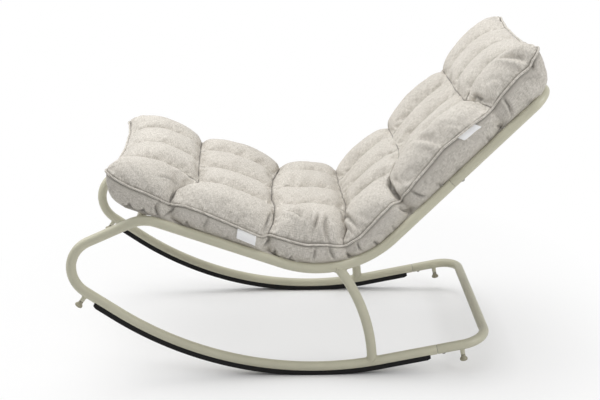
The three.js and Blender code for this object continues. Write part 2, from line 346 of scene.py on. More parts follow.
def turned(name: str, profile: Line, place: Vector, axis: Vector, steps: int = 40) -> Piece:
    """Turns a profile about an axis, as on a lathe.

    Args:
        name: The piece's name.
        profile: (radius, height) points along the axis, in millimetres.
        place: Where height 0 lies.
        axis: The way of the height.
        steps: Facets round the piece.

    Returns:
        The closed mesh.
    """
    side = axis.cross(Y).normalized()
    points = [place + side * (radius * MM) + axis * (height * MM) for radius, height in profile]
    piece = mesh_piece(name, points, [], [(i, i + 1) for i in range(len(points) - 1)])
    activate(piece)
    bpy.ops.object.mode_set(mode="EDIT")
    bpy.ops.mesh.select_all(action="SELECT")
    bpy.ops.mesh.spin(steps=steps, angle=2 * math.pi, center=place, axis=axis)
    bpy.ops.object.mode_set(mode="OBJECT")
    outward(piece, 0.01 * MM)
    smooth(piece, 40)
    return piece


# Routes and bent sections


def backward(rise: float) -> Vector:
    """The way back along a rail that rises by so many degrees to the rear."""
    return Vector((math.cos(math.radians(rise)), 0, math.sin(math.radians(rise))))


def under(rise: float) -> Vector:
    """The outward way under a rail that rises by so many degrees to the rear."""
    return Vector((math.sin(math.radians(rise)), 0, -math.cos(math.radians(rise))))


@dataclass
class Move:
    """One stretch of a route: straight if it has no angle, or a turn about a centre."""

    run: Vector
    centre: Vector
    angle: float
    steps: int


@dataclass
class Route:
    """A centreline of straights and bends in one plane."""

    place: Vector
    heading: Vector
    axle: Vector
    moves: list[Move] = field(default_factory=list)
    start: Vector = field(init=False)
    first_heading: Vector = field(init=False)

    def __post_init__(self) -> None:
        """Keeps where the route starts."""
        self.start = self.place.copy()
        self.first_heading = self.heading.copy()

    def straight(self, length: float) -> "Route":
        """Runs straight on for a length.

        Args:
            length: The run's length.

        Returns:
            The route, for the next move.
        """
        run = self.heading * length
        self.moves.append(Move(run, Vector(), 0, 1))
        self.place = self.place + run
        return self

    def bend(self, radius: float, degrees: float, facet: float) -> "Route":
        """Turns about the axle.

        Args:
            radius: The bend's radius.
            degrees: The turn, by the right-hand rule.
            facet: The most degrees to a facet.

        Returns:
            The route.
        """
        angle = math.radians(degrees)
        centre = self.place + self.axle.cross(self.heading) * math.copysign(radius, degrees)
        turn = Matrix.Rotation(angle, 3, self.axle)
        self.moves.append(Move(Vector(), centre, angle, math.ceil(abs(degrees) / facet)))
        self.place = centre + turn @ (self.place - centre)
        self.heading = turn @ self.heading
        return self

    def section(self, name: str, outline: list[tuple[float, float]] | float) -> Piece:
        """Makes the piece's first section, at the route's start.

        Args:
            name: The piece's name.
            outline: A radius, or (across, up) points of a section, up being away from the axle's side.

        Returns:
            The ring of edges, which is the active object.
        """
        heading = self.first_heading
        if isinstance(outline, float):
            deselect()
            turn = heading.to_track_quat("Z", "Y").to_euler()
            bpy.ops.mesh.primitive_circle_add(vertices=32, radius=outline, location=self.start, rotation=turn)
            piece = bpy.context.object
            piece.name = name
            piece.data.name = name
            bpy.ops.object.transform_apply(location=True, rotation=True, scale=True)
            return piece
        up = heading.cross(self.axle)
        ring = [self.start + self.axle * across + up * height for across, height in outline]
        piece = mesh_piece(name, ring, [], [(i, (i + 1) % len(ring)) for i in range(len(ring))])
        activate(piece)
        return piece

    def draw(self, name: str, outline: list[tuple[float, float]] | float) -> Piece:
        """Draws a section along the route by extruding and spinning it, and closes its ends.

        Args:
            name: The piece's name.
            outline: A radius or a section's points, as for section.

        Returns:
            The closed mesh.
        """
        piece = self.section(name, outline)
        bpy.ops.object.mode_set(mode="EDIT")
        bpy.ops.mesh.select_all(action="SELECT")
        for move in self.moves:
            if move.angle:
                bpy.ops.mesh.spin(steps=move.steps, angle=-move.angle, center=move.centre, axis=self.axle)
            else:
                bpy.ops.mesh.extrude_region_move(TRANSFORM_OT_translate={"value": move.run})
        bpy.ops.mesh.select_all(action="DESELECT")
        bpy.ops.mesh.select_mode(type="EDGE")
        bpy.ops.mesh.select_non_manifold(extend=False, use_wire=False, use_multi_face=False,
                                         use_non_contiguous=False, use_verts=False)
        bpy.ops.mesh.fill_holes(sides=0)
        bpy.ops.mesh.select_mode(type="VERT")
        bpy.ops.object.mode_set(mode="OBJECT")
        outward(piece)
        return piece


# Materials


def linear(colour: Colour, shade: float = 1.0) -> tuple[float, float, float, float]:
    """Turns a colour of 0 to 255, times a shade, into the linear one that a shader takes."""
    parts = [round(value * shade) / 255 for value in colour]
    return (*[p / 12.92 if p <= 0.04045 else ((p + 0.055) / 1.055) ** 2.4 for p in parts], 1.0)


class Value:
    """A number in a shader, which sums and products add Math nodes to."""

    def __init__(self, sheet: "NodeSheet", socket: Socket) -> None:
        """Wraps a socket of a sheet of nodes."""
        self.sheet = sheet
        self.socket = socket

    def math(self, operation: str, *others: object) -> "Value":
        """Adds a Math node on this value.

        Args:
            operation: The node's operation.
            others: Its other values.

        Returns:
            The node's result.
        """
        made = self.sheet.node("ShaderNodeMath", {"operation": operation}, dict(enumerate((self, *others))))
        return Value(self.sheet, made.outputs[0])

    def __add__(self, other: object) -> "Value":
        """Sum."""
        return self.math("ADD", other)

    def __mul__(self, other: object) -> "Value":
        """Product."""
        return self.math("MULTIPLY", other)

    def __rsub__(self, other: object) -> "Value":
        """Difference from the right, as in 1 - mask."""
        return self * -1 + other

    __radd__ = __add__
    __rmul__ = __mul__


class NodeSheet:
    """A sheet of shader nodes, to which one method adds them."""

    def __init__(self, tree: bpy.types.NodeTree) -> None:
        """Starts the sheet empty."""
        self.tree = tree
        self.tree.nodes.clear()

    def feed(self, socket: Socket, value: object) -> None:
        """Links a socket to a Value or another socket, or sets it to a number, colour or vector.

        Args:
            socket: The input.
            value: What goes into it.
        """
        if isinstance(value, Value):
            value = value.socket
        if isinstance(value, Socket):
            self.tree.links.new(value, socket)
        else:
            socket.default_value = value

    def node(self, kind: str, settings: dict | None = None, inputs: dict | None = None) -> bpy.types.Node:
        """Adds a node.

        Args:
            kind: The node's type.
            settings: Its settings by name, set before its sockets.
            inputs: Values, sockets or Values by socket name or number.

        Returns:
            The node.
        """
        made = self.tree.nodes.new(kind)
        for key, value in (settings or {}).items():
            setattr(made, key, value)
        for key, value in (inputs or {}).items():
            self.feed(made.inputs[key], value)
        return made

    def white_rays(self) -> Value:
        """1 for rays that may see the white background: camera, glossy and transmission rays.

        Returns:
            1 for such a ray and 0 for any other.
        """
        path = self.node("ShaderNodeLightPath")
        camera, glossy, through = (Value(self, path.outputs[name]) for name in (
            "Is Camera Ray", "Is Glossy Ray", "Is Transmission Ray"))
        return (camera + glossy + through).math("MINIMUM", 1.0)


@dataclass(frozen=True)
class Grain:
    """Noise over a surface, and the levels of it that count as none and full.

    A scale of three numbers stretches the noise along the axes.
    """

    scale: float | tuple[float, float, float]
    detail: float
    roughness: float
    low: float = 0.3
    high: float = 0.7


class Finish(NodeSheet):
    """A node material on a Principled surface."""

    def __init__(self, name: str, specular: float) -> None:
        """Starts a material with its surface and the level of its mirror shine.

        Args:
            name: The material's name.
            specular: The shine's level.
        """
        self.material = bpy.data.materials.new(name)
        self.material.use_nodes = True
        super().__init__(self.material.node_tree)
        self.surface = self.node("ShaderNodeBsdfPrincipled", {}, {"Specular IOR Level": specular})
        self.exit = self.node("ShaderNodeOutputMaterial", {}, {"Surface": self.surface.outputs[0]})

    def place(self) -> Socket:
        """The surface's place in the piece, in metres."""
        return self.node("ShaderNodeTexCoord").outputs["Object"]

    def flat_place(self) -> Socket:
        """The surface's place on the cloth, in metres."""
        return self.node("ShaderNodeUVMap", {"uv_map": "weave"}).outputs[0]

    def scaled(self, place: Socket, factors: tuple[float, float, float]) -> Socket:
        """A place stretched by a factor along each axis."""
        return self.node("ShaderNodeVectorMath", {"operation": "MULTIPLY"}, {0: place, 1: factors}).outputs[0]

    def noise(self, place: Socket, grain: Grain) -> Value:
        """The grain's noise as it comes, from 0 to 1.

        Args:
            place: Where it is read.
            grain: Its size and detail.

        Returns:
            The noise.
        """
        scale = grain.scale
        if isinstance(scale, tuple):
            place, scale = self.scaled(place, scale), 1.0
        made = self.node("ShaderNodeTexNoise", {}, {
            "Vector": place, "Scale": scale, "Detail": grain.detail, "Roughness": grain.roughness})
        return Value(self, made.outputs[0])

    def cloud(self, place: Socket, grain: Grain, full: float = 1) -> Value:
        """The grain's noise, spread from 0 at its low level to full at its high one."""
        return self.levels(self.noise(place, grain), grain.low, grain.high, 0, full)

    def blend(self, share: object, low: object, high: object) -> Socket:
        """Mixes two colours by a share."""
        return self.node("ShaderNodeMix", {"data_type": "RGBA"}, {"Factor": share, 6: low, 7: high}).outputs[2]

    def levels(self, value: Value, low: float, high: float, to_low: float, to_high: float) -> Value:
        """Maps a value from one range to another, and keeps it there.

        Args:
            value: The value.
            low: The range's start.
            high: The range's end.
            to_low: What the start becomes.
            to_high: What the end becomes.

        Returns:
            The mapped value.
        """
        made = self.node("ShaderNodeMapRange", {"clamp": True}, {
            "Value": value, "From Min": low, "From Max": high, "To Min": to_low, "To Max": to_high})
        return Value(self, made.outputs[0])

    def relief(self, height: Value, distance: float, strength: float,
               coarse: Socket | None = None) -> Socket:
        """Turns a height into a normal.

        Args:
            height: From 0 to 1.
            distance: Metres of relief at height 1.
            strength: The bump's strength.
            coarse: A coarser normal that this one lies on.

        Returns:
            The normal's socket.
        """
        inputs = {"Height": height, "Distance": distance, "Strength": strength}
        if coarse is not None:
            inputs["Normal"] = coarse
        return self.node("ShaderNodeBump", {}, inputs).outputs[0]

    def wear(self, **sockets: object) -> Material:
        """Sets or links sockets of the surface, underscores standing for spaces, and gives the material.

        Args:
            sockets: Values or sources by the inputs' names.

        Returns:
            The material.
        """
        for key, value in sockets.items():
            self.feed(self.surface.inputs[key.replace("_", " ")], value)
        return self.material


@dataclass(frozen=True)
class PowderCoat:
    """Satin powder coat with a fine orange peel, slightly cloudy and specked."""

    name: str
    colour: Colour
    cloud: Grain = Grain(9, 4, 0.55)
    cloud_shade: float = 0.955
    speck: Grain = Grain(900, 2, 0.6, 0.62, 0.8)
    speck_shade: float = 0.88
    speck_share: float = 0.35
    roughness: tuple[float, float] = (0.32, 0.41)
    peel: Grain = Grain(420, 2, 0.5)
    peel_depth: float = 0.06 * MM

    def make(self) -> Material:
        """Builds the material.

        Returns:
            The material.
        """
        coat = Finish(self.name, 0.45)
        place = coat.place()
        cloud = coat.noise(place, self.cloud)
        tone = coat.levels(cloud, self.cloud.low, self.cloud.high, 0, 1)
        colour = coat.blend(tone, linear(self.colour, self.cloud_shade), linear(self.colour))
        speck = coat.cloud(place, self.speck, self.speck_share)
        return coat.wear(
            Base_Color=coat.blend(speck, colour, linear(self.colour, self.speck_shade)),
            Roughness=coat.levels(cloud, self.cloud.low, self.cloud.high, *self.roughness),
            Normal=coat.relief(coat.noise(place, self.peel), self.peel_depth, 0.8))


@dataclass(frozen=True)
class MouldedRubber:
    """Matt black rubber with a fine moulded grain and grey scuffs along its length."""

    name: str
    colour: Colour
    scuffed: Colour
    scuff: Grain = Grain((60, 260, 260), 5, 0.65, 0.52, 0.75)
    scuff_share: float = 0.55
    roughness: tuple[float, float] = (0.62, 0.86)
    grain: Grain = Grain(1500, 2, 0.6)
    grain_depth: float = 0.12 * MM

    def make(self) -> Material:
        """Builds the material.

        Returns:
            The material.
        """
        rubber = Finish(self.name, 0.22)
        place = rubber.place()
        scuff = rubber.cloud(place, self.scuff)
        return rubber.wear(
            Base_Color=rubber.blend(scuff * self.scuff_share, linear(self.colour), linear(self.scuffed)),
            Roughness=rubber.levels(scuff, 0, 1, *self.roughness),
            Normal=rubber.relief(rubber.noise(place, self.grain), self.grain_depth, 0.7))


@dataclass(frozen=True)
class PlatedSteel:
    """Zinc-plated or bare drawn steel with fine marks along its length."""

    name: str
    colour: Colour
    roughness: tuple[float, float]
    cloud: Grain = Grain(160, 4, 0.6, 0.35, 0.7)
    cloud_shade: float = 0.8
    marks: Grain = Grain((300, 2600, 2600), 3, 0.6)
    marks_depth: float = 0.03 * MM

    def make(self) -> Material:
        """Builds the material.

        Returns:
            The material.
        """
        steel = Finish(self.name, 0.5)
        place = steel.place()
        marks = steel.noise(place, self.marks)
        return steel.wear(
            Base_Color=steel.blend(steel.cloud(place, self.cloud), linear(self.colour, self.cloud_shade),
                                   linear(self.colour)),
            Metallic=1.0,
            Roughness=steel.levels(marks, self.marks.low, self.marks.high, *self.roughness),
            Normal=steel.relief(marks, self.marks_depth, 0.6))


@dataclass(frozen=True)
class MouldedPlastic:
    """Matt moulded plastic with spark-eroded texture."""

    name: str
    colour: Colour
    cloud: Grain = Grain(55, 4, 0.6, 0.35, 0.7)
    cloud_shade: float = 0.9
    roughness: tuple[float, float] = (0.52, 0.66)
    texture: Grain = Grain(1900, 2, 0.55)
    texture_depth: float = 0.08 * MM

    def make(self) -> Material:
        """Builds the material.

        Returns:
            The material.
        """
        plastic = Finish(self.name, 0.5)
        place = plastic.place()
        cloud = plastic.cloud(place, self.cloud)
        return plastic.wear(
            Base_Color=plastic.blend(cloud, linear(self.colour, self.cloud_shade), linear(self.colour)),
            Roughness=plastic.levels(cloud, 0, 1, *self.roughness),
            Normal=plastic.relief(plastic.noise(place, self.texture), self.texture_depth, 0.7))


@dataclass(frozen=True)
class WovenCloth:
    """Plain-woven melange cloth: two yarn tones, crossing threads, soft pilling, and painted shade in its seam
    and fold grooves.
    """

    name: str
    pale: Colour
    dark: Colour
    pitch: float = 1.7 * MM
    depth: float = 0.36 * MM
    slubs: tuple[Grain, Grain] = (Grain((90, 640, 1), 3, 0.6), Grain((640, 90, 1), 3, 0.6))
    fleck: Grain = Grain((480, 480, 1), 4, 0.7)
    slub_share: float = 0.35
    fleck_share: float = 0.3
    yarn_levels: tuple[float, float] = (0.42, 0.58)
    cloud: Grain = Grain((11, 11, 1), 4, 0.6)
    yarn_share: float = 0.72
    cloud_share: float = 0.14
    thread_share: float = 0.14
    # Painted shade in the grooves: how dark it makes the dark yarn, and how much of it the groove mark gives
    painted_groove_shade: float = 0.42
    groove_share: float = 0.72
    roughness: tuple[float, float] = (0.86, 0.98)
    yarn_depth_share: float = 2.2

    def make(self) -> Material:
        """Builds the material.

        Returns:
            The material.
        """
        cloth = Finish(self.name, 0.2)
        flat = cloth.flat_place()
        split = cloth.node("ShaderNodeSeparateXYZ", {}, {0: flat})
        turn = 2 * math.pi / self.pitch
        warp, weft = ((Value(cloth, split.outputs[axis]) * turn).math("SINE") for axis in (0, 1))
        threads = (warp * weft) * 0.5 + 0.5
        slub_along, slub_across = (cloth.noise(flat, slub) for slub in self.slubs)
        yarn = (slub_along * self.slub_share + slub_across * self.slub_share
                + cloth.noise(flat, self.fleck) * self.fleck_share)
        shade = (cloth.levels(yarn, *self.yarn_levels, 0, 1) * self.yarn_share
                 + cloth.cloud(flat, self.cloud) * self.cloud_share + threads * self.thread_share)
        colour = cloth.blend(shade, linear(self.dark), linear(self.pale))
        # Painted shade: the groove mark darkens the colour towards a darker dark yarn along the seams and folds
        groove = Value(cloth, cloth.node("ShaderNodeAttribute", {"attribute_name": "groove"}).outputs["Fac"])
        coarse = cloth.relief(yarn, self.depth * self.yarn_depth_share, 0.55)
        return cloth.wear(
            Base_Color=cloth.blend(groove * self.groove_share, colour, linear(self.dark, self.painted_groove_shade)),
            Roughness=cloth.levels(yarn, 0.3, 0.7, *self.roughness),
            Normal=cloth.relief(threads, self.depth, 0.5, coarse),
            Sheen_Weight=0.12,
            Sheen_Roughness=0.5)


@dataclass
class Workshop:
    """All the finishes, made once, and the way a piece gets one."""

    finishes: dict[Slot, Material] = field(init=False)
    tag_cloth: Material = field(init=False)

    def __post_init__(self) -> None:
        """Makes every finish."""
        self.finishes = {
            Slot.PAINT: PowderCoat("paint_sage", (203, 200, 178)).make(),
            Slot.INNER_STEEL: PlatedSteel("inner_steel", (150, 150, 146), (0.34, 0.54)).make(),
            Slot.BOLT_STEEL: PlatedSteel("bolt_steel", (176, 176, 170), (0.18, 0.38)).make(),
            Slot.RUBBER: MouldedRubber("tread_rubber", (13, 12, 12), (27, 26, 26)).make(),
            Slot.PLASTIC: MouldedPlastic("pad_plastic", (172, 167, 144)).make(),
            Slot.CLOTH: WovenCloth("cloth_melange", (238, 233, 225), (164, 158, 147)).make(),
        }
        self.tag_cloth = WovenCloth("tag_satin", (255, 255, 255), (247, 247, 248), 0.5 * MM, 0.05 * MM).make()

    def dress(self, piece: Piece, slot: Slot, body: str, *nodes: str) -> Piece:
        """Gives a piece its finish, its body and the nodes that it stands for.

        Args:
            piece: The finished piece.
            slot: Its material slot.
            body: The body that it rides on.
            nodes: The nodes that it replaces.

        Returns:
            The piece.
        """
        piece.data.materials.clear()
        piece.data.materials.append(self.finishes[slot])
        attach(piece, body)
        if nodes:
            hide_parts(*nodes)
        log.info("%s rides on %s", piece.name, body)
        return piece

    def coat_node(self, node: Piece, slot: Slot) -> None:
        """Gives a node that stays a finish of its own slot.

        Args:
            node: The node.
            slot: Its slot.
        """
        for place in range(len(node.material_slots)):
            node.material_slots[place].link = "OBJECT"
            node.material_slots[place].material = self.finishes[slot]


# Frame


@dataclass
class TubeFrame:
    """Side loops, braces, cross tubes, back hoop and rear stabiliser, with their welds and screws."""

    shop: Workshop
    shift: float = 33.37 * MM
    half: float = 300 * MM
    radius: float = 14 * MM
    cross_radius: float = 12.5 * MM
    rocker_radius: float = 957 * MM
    rear_rise: float = 11.2
    front_rise: float = 35.5
    tail: float = 161 * MM
    nose: float = 102 * MM
    chin_radius: float = 86 * MM
    riser_slope: float = 24.2
    riser: float = 127 * MM
    knee_radius: float = 98.7 * MM
    seat_slope: float = 19.75
    seat: float = 359.5 * MM
    hip_radius: float = 292.7 * MM
    back_slope: float = 45.5
    back: float = 220 * MM
    hoop_reach: float = 345 * MM
    hoop_radius: float = 50 * MM
    stabiliser_reach: float = 147 * MM
    stabiliser_radius: float = 72 * MM
    joint_gap: float = 1.2 * MM
    back_screw_place: float = 27 * MM
    rear_screw_place: float = 18 * MM
    brace_radius: float = 509 * MM
    brace_foot_rise: float = 9.6
    brace_head_rise: float = 10.8
    front_tube_rise: float = 6.75
    hip_tube_share: float = 0.62
    cross_tube_overlap: float = 4 * MM
    tread_depth: float = 10 * MM
    rest_length: float = 130 * MM
    lip: float = 0.9 * MM
    # Degrees to a facet on the rocker, the small bends, the hip bend, the hoops' corners and the braces
    rocker_facet: float = 1.0
    bend_facet: float = 4
    hip_facet: float = 2.2
    corner_facet: float = 5
    brace_facet: float = 2
    # Weld beads: their radii, their lift off the tubes, their corners and ripples, and how much they swell
    brace_bead: float = 2.2 * MM
    cross_bead: float = 1.9 * MM
    bead_lift: float = 0.3 * MM
    bead_corners: int = 132
    bead_ripples: int = 30
    ripple_share: float = 0.10
    wobble_share: float = 0.12

    def __post_init__(self) -> None:
        """Works out the places that several pieces share."""
        outer = self.rocker_radius + self.radius + self.tread_depth
        self.rest_angle = math.degrees(math.asin(self.rest_length / 2 / outer))
        self.rocker_centre = Vector((self.shift, 0, outer * math.cos(math.radians(self.rest_angle))))
        self.rear_joint = self.rocker_place(self.rear_rise) + backward(self.rear_rise) * self.tail
        self.back_joint = self.loop_route(0).place

    def rocker_place(self, rise: float) -> Vector:
        """The place on the rocker's centreline at a rise in degrees."""
        return self.rocker_centre + under(rise) * self.rocker_radius

    def hip_place(self, rise: float) -> Vector:
        """The place on the hip bend's centreline where the rail rises by so many degrees."""
        return self.hip_centre + under(rise) * self.hip_radius

    def loop_route(self, y: float) -> Route:
        """The side loop's route at a place across, which also keeps the bends' places.

        Args:
            y: The loop's place across.

        Returns:
            The route.
        """
        aside = Y * y
        route = Route(self.rear_joint + aside, -backward(self.rear_rise), Y.copy())
        route.straight(self.tail).bend(self.rocker_radius, self.rear_rise + self.front_rise, self.rocker_facet)
        self.nose_start = route.place - aside
        route.straight(self.nose)
        route.bend(self.chin_radius, 180 - self.front_rise - self.riser_slope, self.bend_facet)
        route.straight(self.riser)
        self.knee_centre = route.place - aside + Y.cross(route.heading) * self.knee_radius
        route.bend(self.knee_radius, self.riser_slope + self.seat_slope, self.bend_facet)
        self.seat_start = route.place - aside
        route.straight(self.seat)
        self.hip_start = route.place - aside
        self.hip_centre = self.hip_start - Y.cross(route.heading) * self.hip_radius
        route.bend(self.hip_radius, -(self.seat_slope + self.back_slope), self.hip_facet)
        self.back_start = route.place - aside
        return route.straight(self.back)

    def build_tube(self, route: Route, name: str, node: str) -> None:
        """Draws a frame tube, breaks the sharp rims of its ends, shades and dresses it.

        Args:
            route: The tube's route.
            name: The piece's name.
            node: The node that it replaces.
        """
        tube = route.draw(name, self.radius)
        apply_modifier(tube, "BEVEL", width=self.lip, segments=2, limit_method="ANGLE",
                       angle_limit=math.radians(60))
        smooth(tube, 40)
        self.shop.dress(tube, Slot.PAINT, "frame", node)

    def build_loops(self) -> None:
        """Bends the two side loops."""
        for side in Side:
            route = self.loop_route(side.way * self.half)
            self.build_tube(route, f"loop_tube_{side.label}", f"side_loop_{side.label}")

    def brace_route(self, y: float) -> Route:
        """The brace's arc from the rocker up to the hip bend, at a place across.

        Args:
            y: The place across.

        Returns:
            The route from foot to head.
        """
        foot = self.rocker_place(self.brace_foot_rise) + Y * y
        head = self.hip_place(self.brace_head_rise) + Y * y
        way = head - foot
        half_turn = math.asin(way.length / 2 / self.brace_radius)
        heading = (Matrix.Rotation(half_turn, 3, Y) @ way).normalized()
        route = Route(foot, heading, Y.copy())
        return route.bend(self.brace_radius, -2 * math.degrees(half_turn), self.brace_facet)

    def contact(self, way: Vector, arm: Vector, host: Vector) -> float:
        """How far along a welded tube a line of its wall meets the frame tube that it stands on.

        Args:
            way: The way of the welded tube.
            arm: From its centreline to the line.
            host: The way of the frame tube.

        Returns:
            The distance from the crossing of the two centrelines.
        """
        flat_arm = arm - host * arm.dot(host)
        flat_way = way - host * way.dot(host)
        a, b = flat_way.dot(flat_way), 2 * flat_way.dot(flat_arm)
        c = flat_arm.dot(flat_arm) - (self.radius + self.bead_lift) ** 2
        return (math.sqrt(max(0.0, b * b - 4 * a * c)) - b) / (2 * a)

    def weld(self, name: str, centre: Vector, way: Vector, radius: float, host: Vector,
             size: float) -> Piece:
        """Runs a rippled weld bead round a tube where it meets a frame tube.

        Args:
            name: The bead's name.
            centre: Where the two centrelines cross.
            way: The way of the welded tube, away from its host.
            radius: The welded tube's radius.
            host: The way of the frame tube that it stands on.
            size: The bead's radius.

        Returns:
            The bead.
        """
        side = way.cross(host).normalized()
        other = way.cross(side).normalized()
        points, radii = [], []
        for step in range(self.bead_corners):
            angle = 2 * math.pi * step / self.bead_corners
            arm = (side * math.cos(angle) + other * math.sin(angle)) * (radius + self.bead_lift)
            points.append(tuple(centre + arm + way * self.contact(way, arm, host)))
            ripple = self.ripple_share * math.sin(step * 2 * math.pi * self.bead_ripples / self.bead_corners)
            wobble = self.wobble_share * noise.noise(Vector((step * 0.21, centre.y * 30, centre.x * 20)))
            radii.append(size * (1 + ripple + wobble))
        return cord_mesh(name, np.array(points), np.array(radii), 2)

    def build_braces(self) -> None:
        """Bends the braces and welds their ends."""
        for side in Side:
            route = self.brace_route(side.way * self.half)
            self.build_tube(route, f"brace_tube_{side.label}", f"brace_{side.label}")
            ends = ((route.start, route.first_heading, self.brace_foot_rise),
                    (route.place, -route.heading, self.brace_head_rise))
            beads = [self.weld("bead", place, way, self.radius, backward(rise), self.brace_bead)
                     for place, way, rise in ends]
            self.shop.dress(join(f"brace_welds_{side.label}", beads), Slot.PAINT, "frame")

    def build_cross_tubes(self) -> None:
        """Sets the four cross tubes between the loops and welds them."""
        front = self.front_tube_rise
        hip = self.hip_tube_share * (self.seat_slope + self.back_slope) - self.seat_slope
        spots = {
            "front": (self.knee_centre - under(front) * self.knee_radius, front),
            "seat": (self.seat_start.lerp(self.hip_start, 0.5), -self.seat_slope),
            "hip": (self.hip_place(hip), hip),
            "back": (self.back_start.lerp(self.back_joint, 0.5), self.back_slope),
        }
        reach = self.half - self.radius + self.cross_tube_overlap
        for word, (place, rise) in spots.items():
            tube = Route(place - Y * reach, Y.copy(), X.copy()).straight(2 * reach)
            piece = tube.draw(f"{word}_crossbar", self.cross_radius)
            smooth(piece, 40)
            self.shop.dress(piece, Slot.PAINT, "frame", f"{word}_cross_tube")
            beads = [self.weld("bead", place + Y * self.half * side.way, -Y * side.way, self.cross_radius,
                               backward(rise), self.cross_bead) for side in Side]
            self.shop.dress(join(f"{word}_crossbar_welds", beads), Slot.PAINT, "frame")

    def u_route(self, joint: Vector, rise: float, reach: float, radius: float) -> Route:
        """The route of a U whose legs carry on from the side loops' ends.

        Args:
            joint: The loops' end, on the chair's middle.
            rise: Its legs' rise in degrees.
            reach: From the joint to the far tube's centre.
            radius: Its corners' radius.

        Returns:
            The route.
        """
        heading = backward(rise)
        start = joint + heading * self.joint_gap - Y * self.half
        leg = reach - radius - self.joint_gap
        route = Route(start, heading, heading.cross(Y))
        route.straight(leg).bend(radius, 90, self.corner_facet).straight(2 * (self.half - radius))
        return route.bend(radius, 90, self.corner_facet).straight(leg)

    def build_hoops(self) -> None:
        """Bends the back hoop and the rear stabiliser, and sets their screws."""
        back = self.u_route(self.back_joint, self.back_slope, self.hoop_reach, self.hoop_radius)
        self.build_tube(back, "hoop_tube", "back_hoop")
        rear = self.u_route(self.rear_joint, self.rear_rise, self.stabiliser_reach, self.stabiliser_radius)
        self.build_tube(rear, "stabiliser_tube", "rear_stabiliser")
        for corner, joint, rise, place in (
                ("back", self.back_joint, self.back_slope, self.back_screw_place),
                ("rear", self.rear_joint, self.rear_rise, self.rear_screw_place)):
            for side in Side:
                spot = joint + backward(rise) * place + Y * self.half * side.way
                screw = ButtonScrew().model(f"{corner}_button_screw_{side.label}", spot, under(rise))
                self.shop.dress(screw, Slot.BOLT_STEEL, "frame", f"{corner}_screw_{side.label}")

    def build(self) -> None:
        """Builds the whole frame."""
        self.build_loops()
        self.build_braces()
        self.build_cross_tubes()
        self.build_hoops()


@dataclass(frozen=True)
class ButtonScrew:
    """A button-head screw with a hexagon socket; heights run from the tube's centreline out."""

    corners: int = 36
    shank: float = 3 * MM
    shank_start: float = 8 * MM
    seat: float = 13.9 * MM
    head: float = 5.25 * MM
    rim: float = 0.9 * MM
    dome: float = 2.3 * MM
    dome_inset: float = 2.55 * MM
    dome_turn: float = 72
    dome_shares: tuple[float, ...] = (0.0, 0.2, 0.45, 0.7, 0.9, 1.0)
    socket_flat: float = 1.9 * MM
    socket_depth: float = 1.8 * MM

    def model(self, name: str, place: Vector, axis: Vector) -> Piece:
        """Models the screw.

        Args:
            name: The screw's name.
            place: The spot on the tube's centreline.
            axis: The way out of the tube.

        Returns:
            The screw.
        """
        def ring(radius: float, height: float) -> tuple[list[float], float]:
            """A round ring of the screw."""
            return [radius] * self.corners, height

        rings = [ring(self.shank, self.shank_start), ring(self.shank, self.seat), ring(self.head, self.seat)]
        turn = math.radians(self.dome_turn)
        for share in self.dome_shares:
            inset = self.dome_inset * (1 - math.cos(share * turn)) / (1 - math.cos(turn))
            rise = self.dome * math.sin(share * turn) / math.sin(turn)
            rings.append(ring(self.head - inset, self.seat + self.rim + rise))
        sixth = math.pi / 3
        hexagon = [self.socket_flat / math.cos((2 * math.pi * i / self.corners + sixth / 2) % sixth - sixth / 2)
                   for i in range(self.corners)]
        top = self.seat + self.rim + self.dome
        rings += [(hexagon, top), (hexagon, top - self.socket_depth)]
        return ring_stack(name, place, axis, rings, 35)


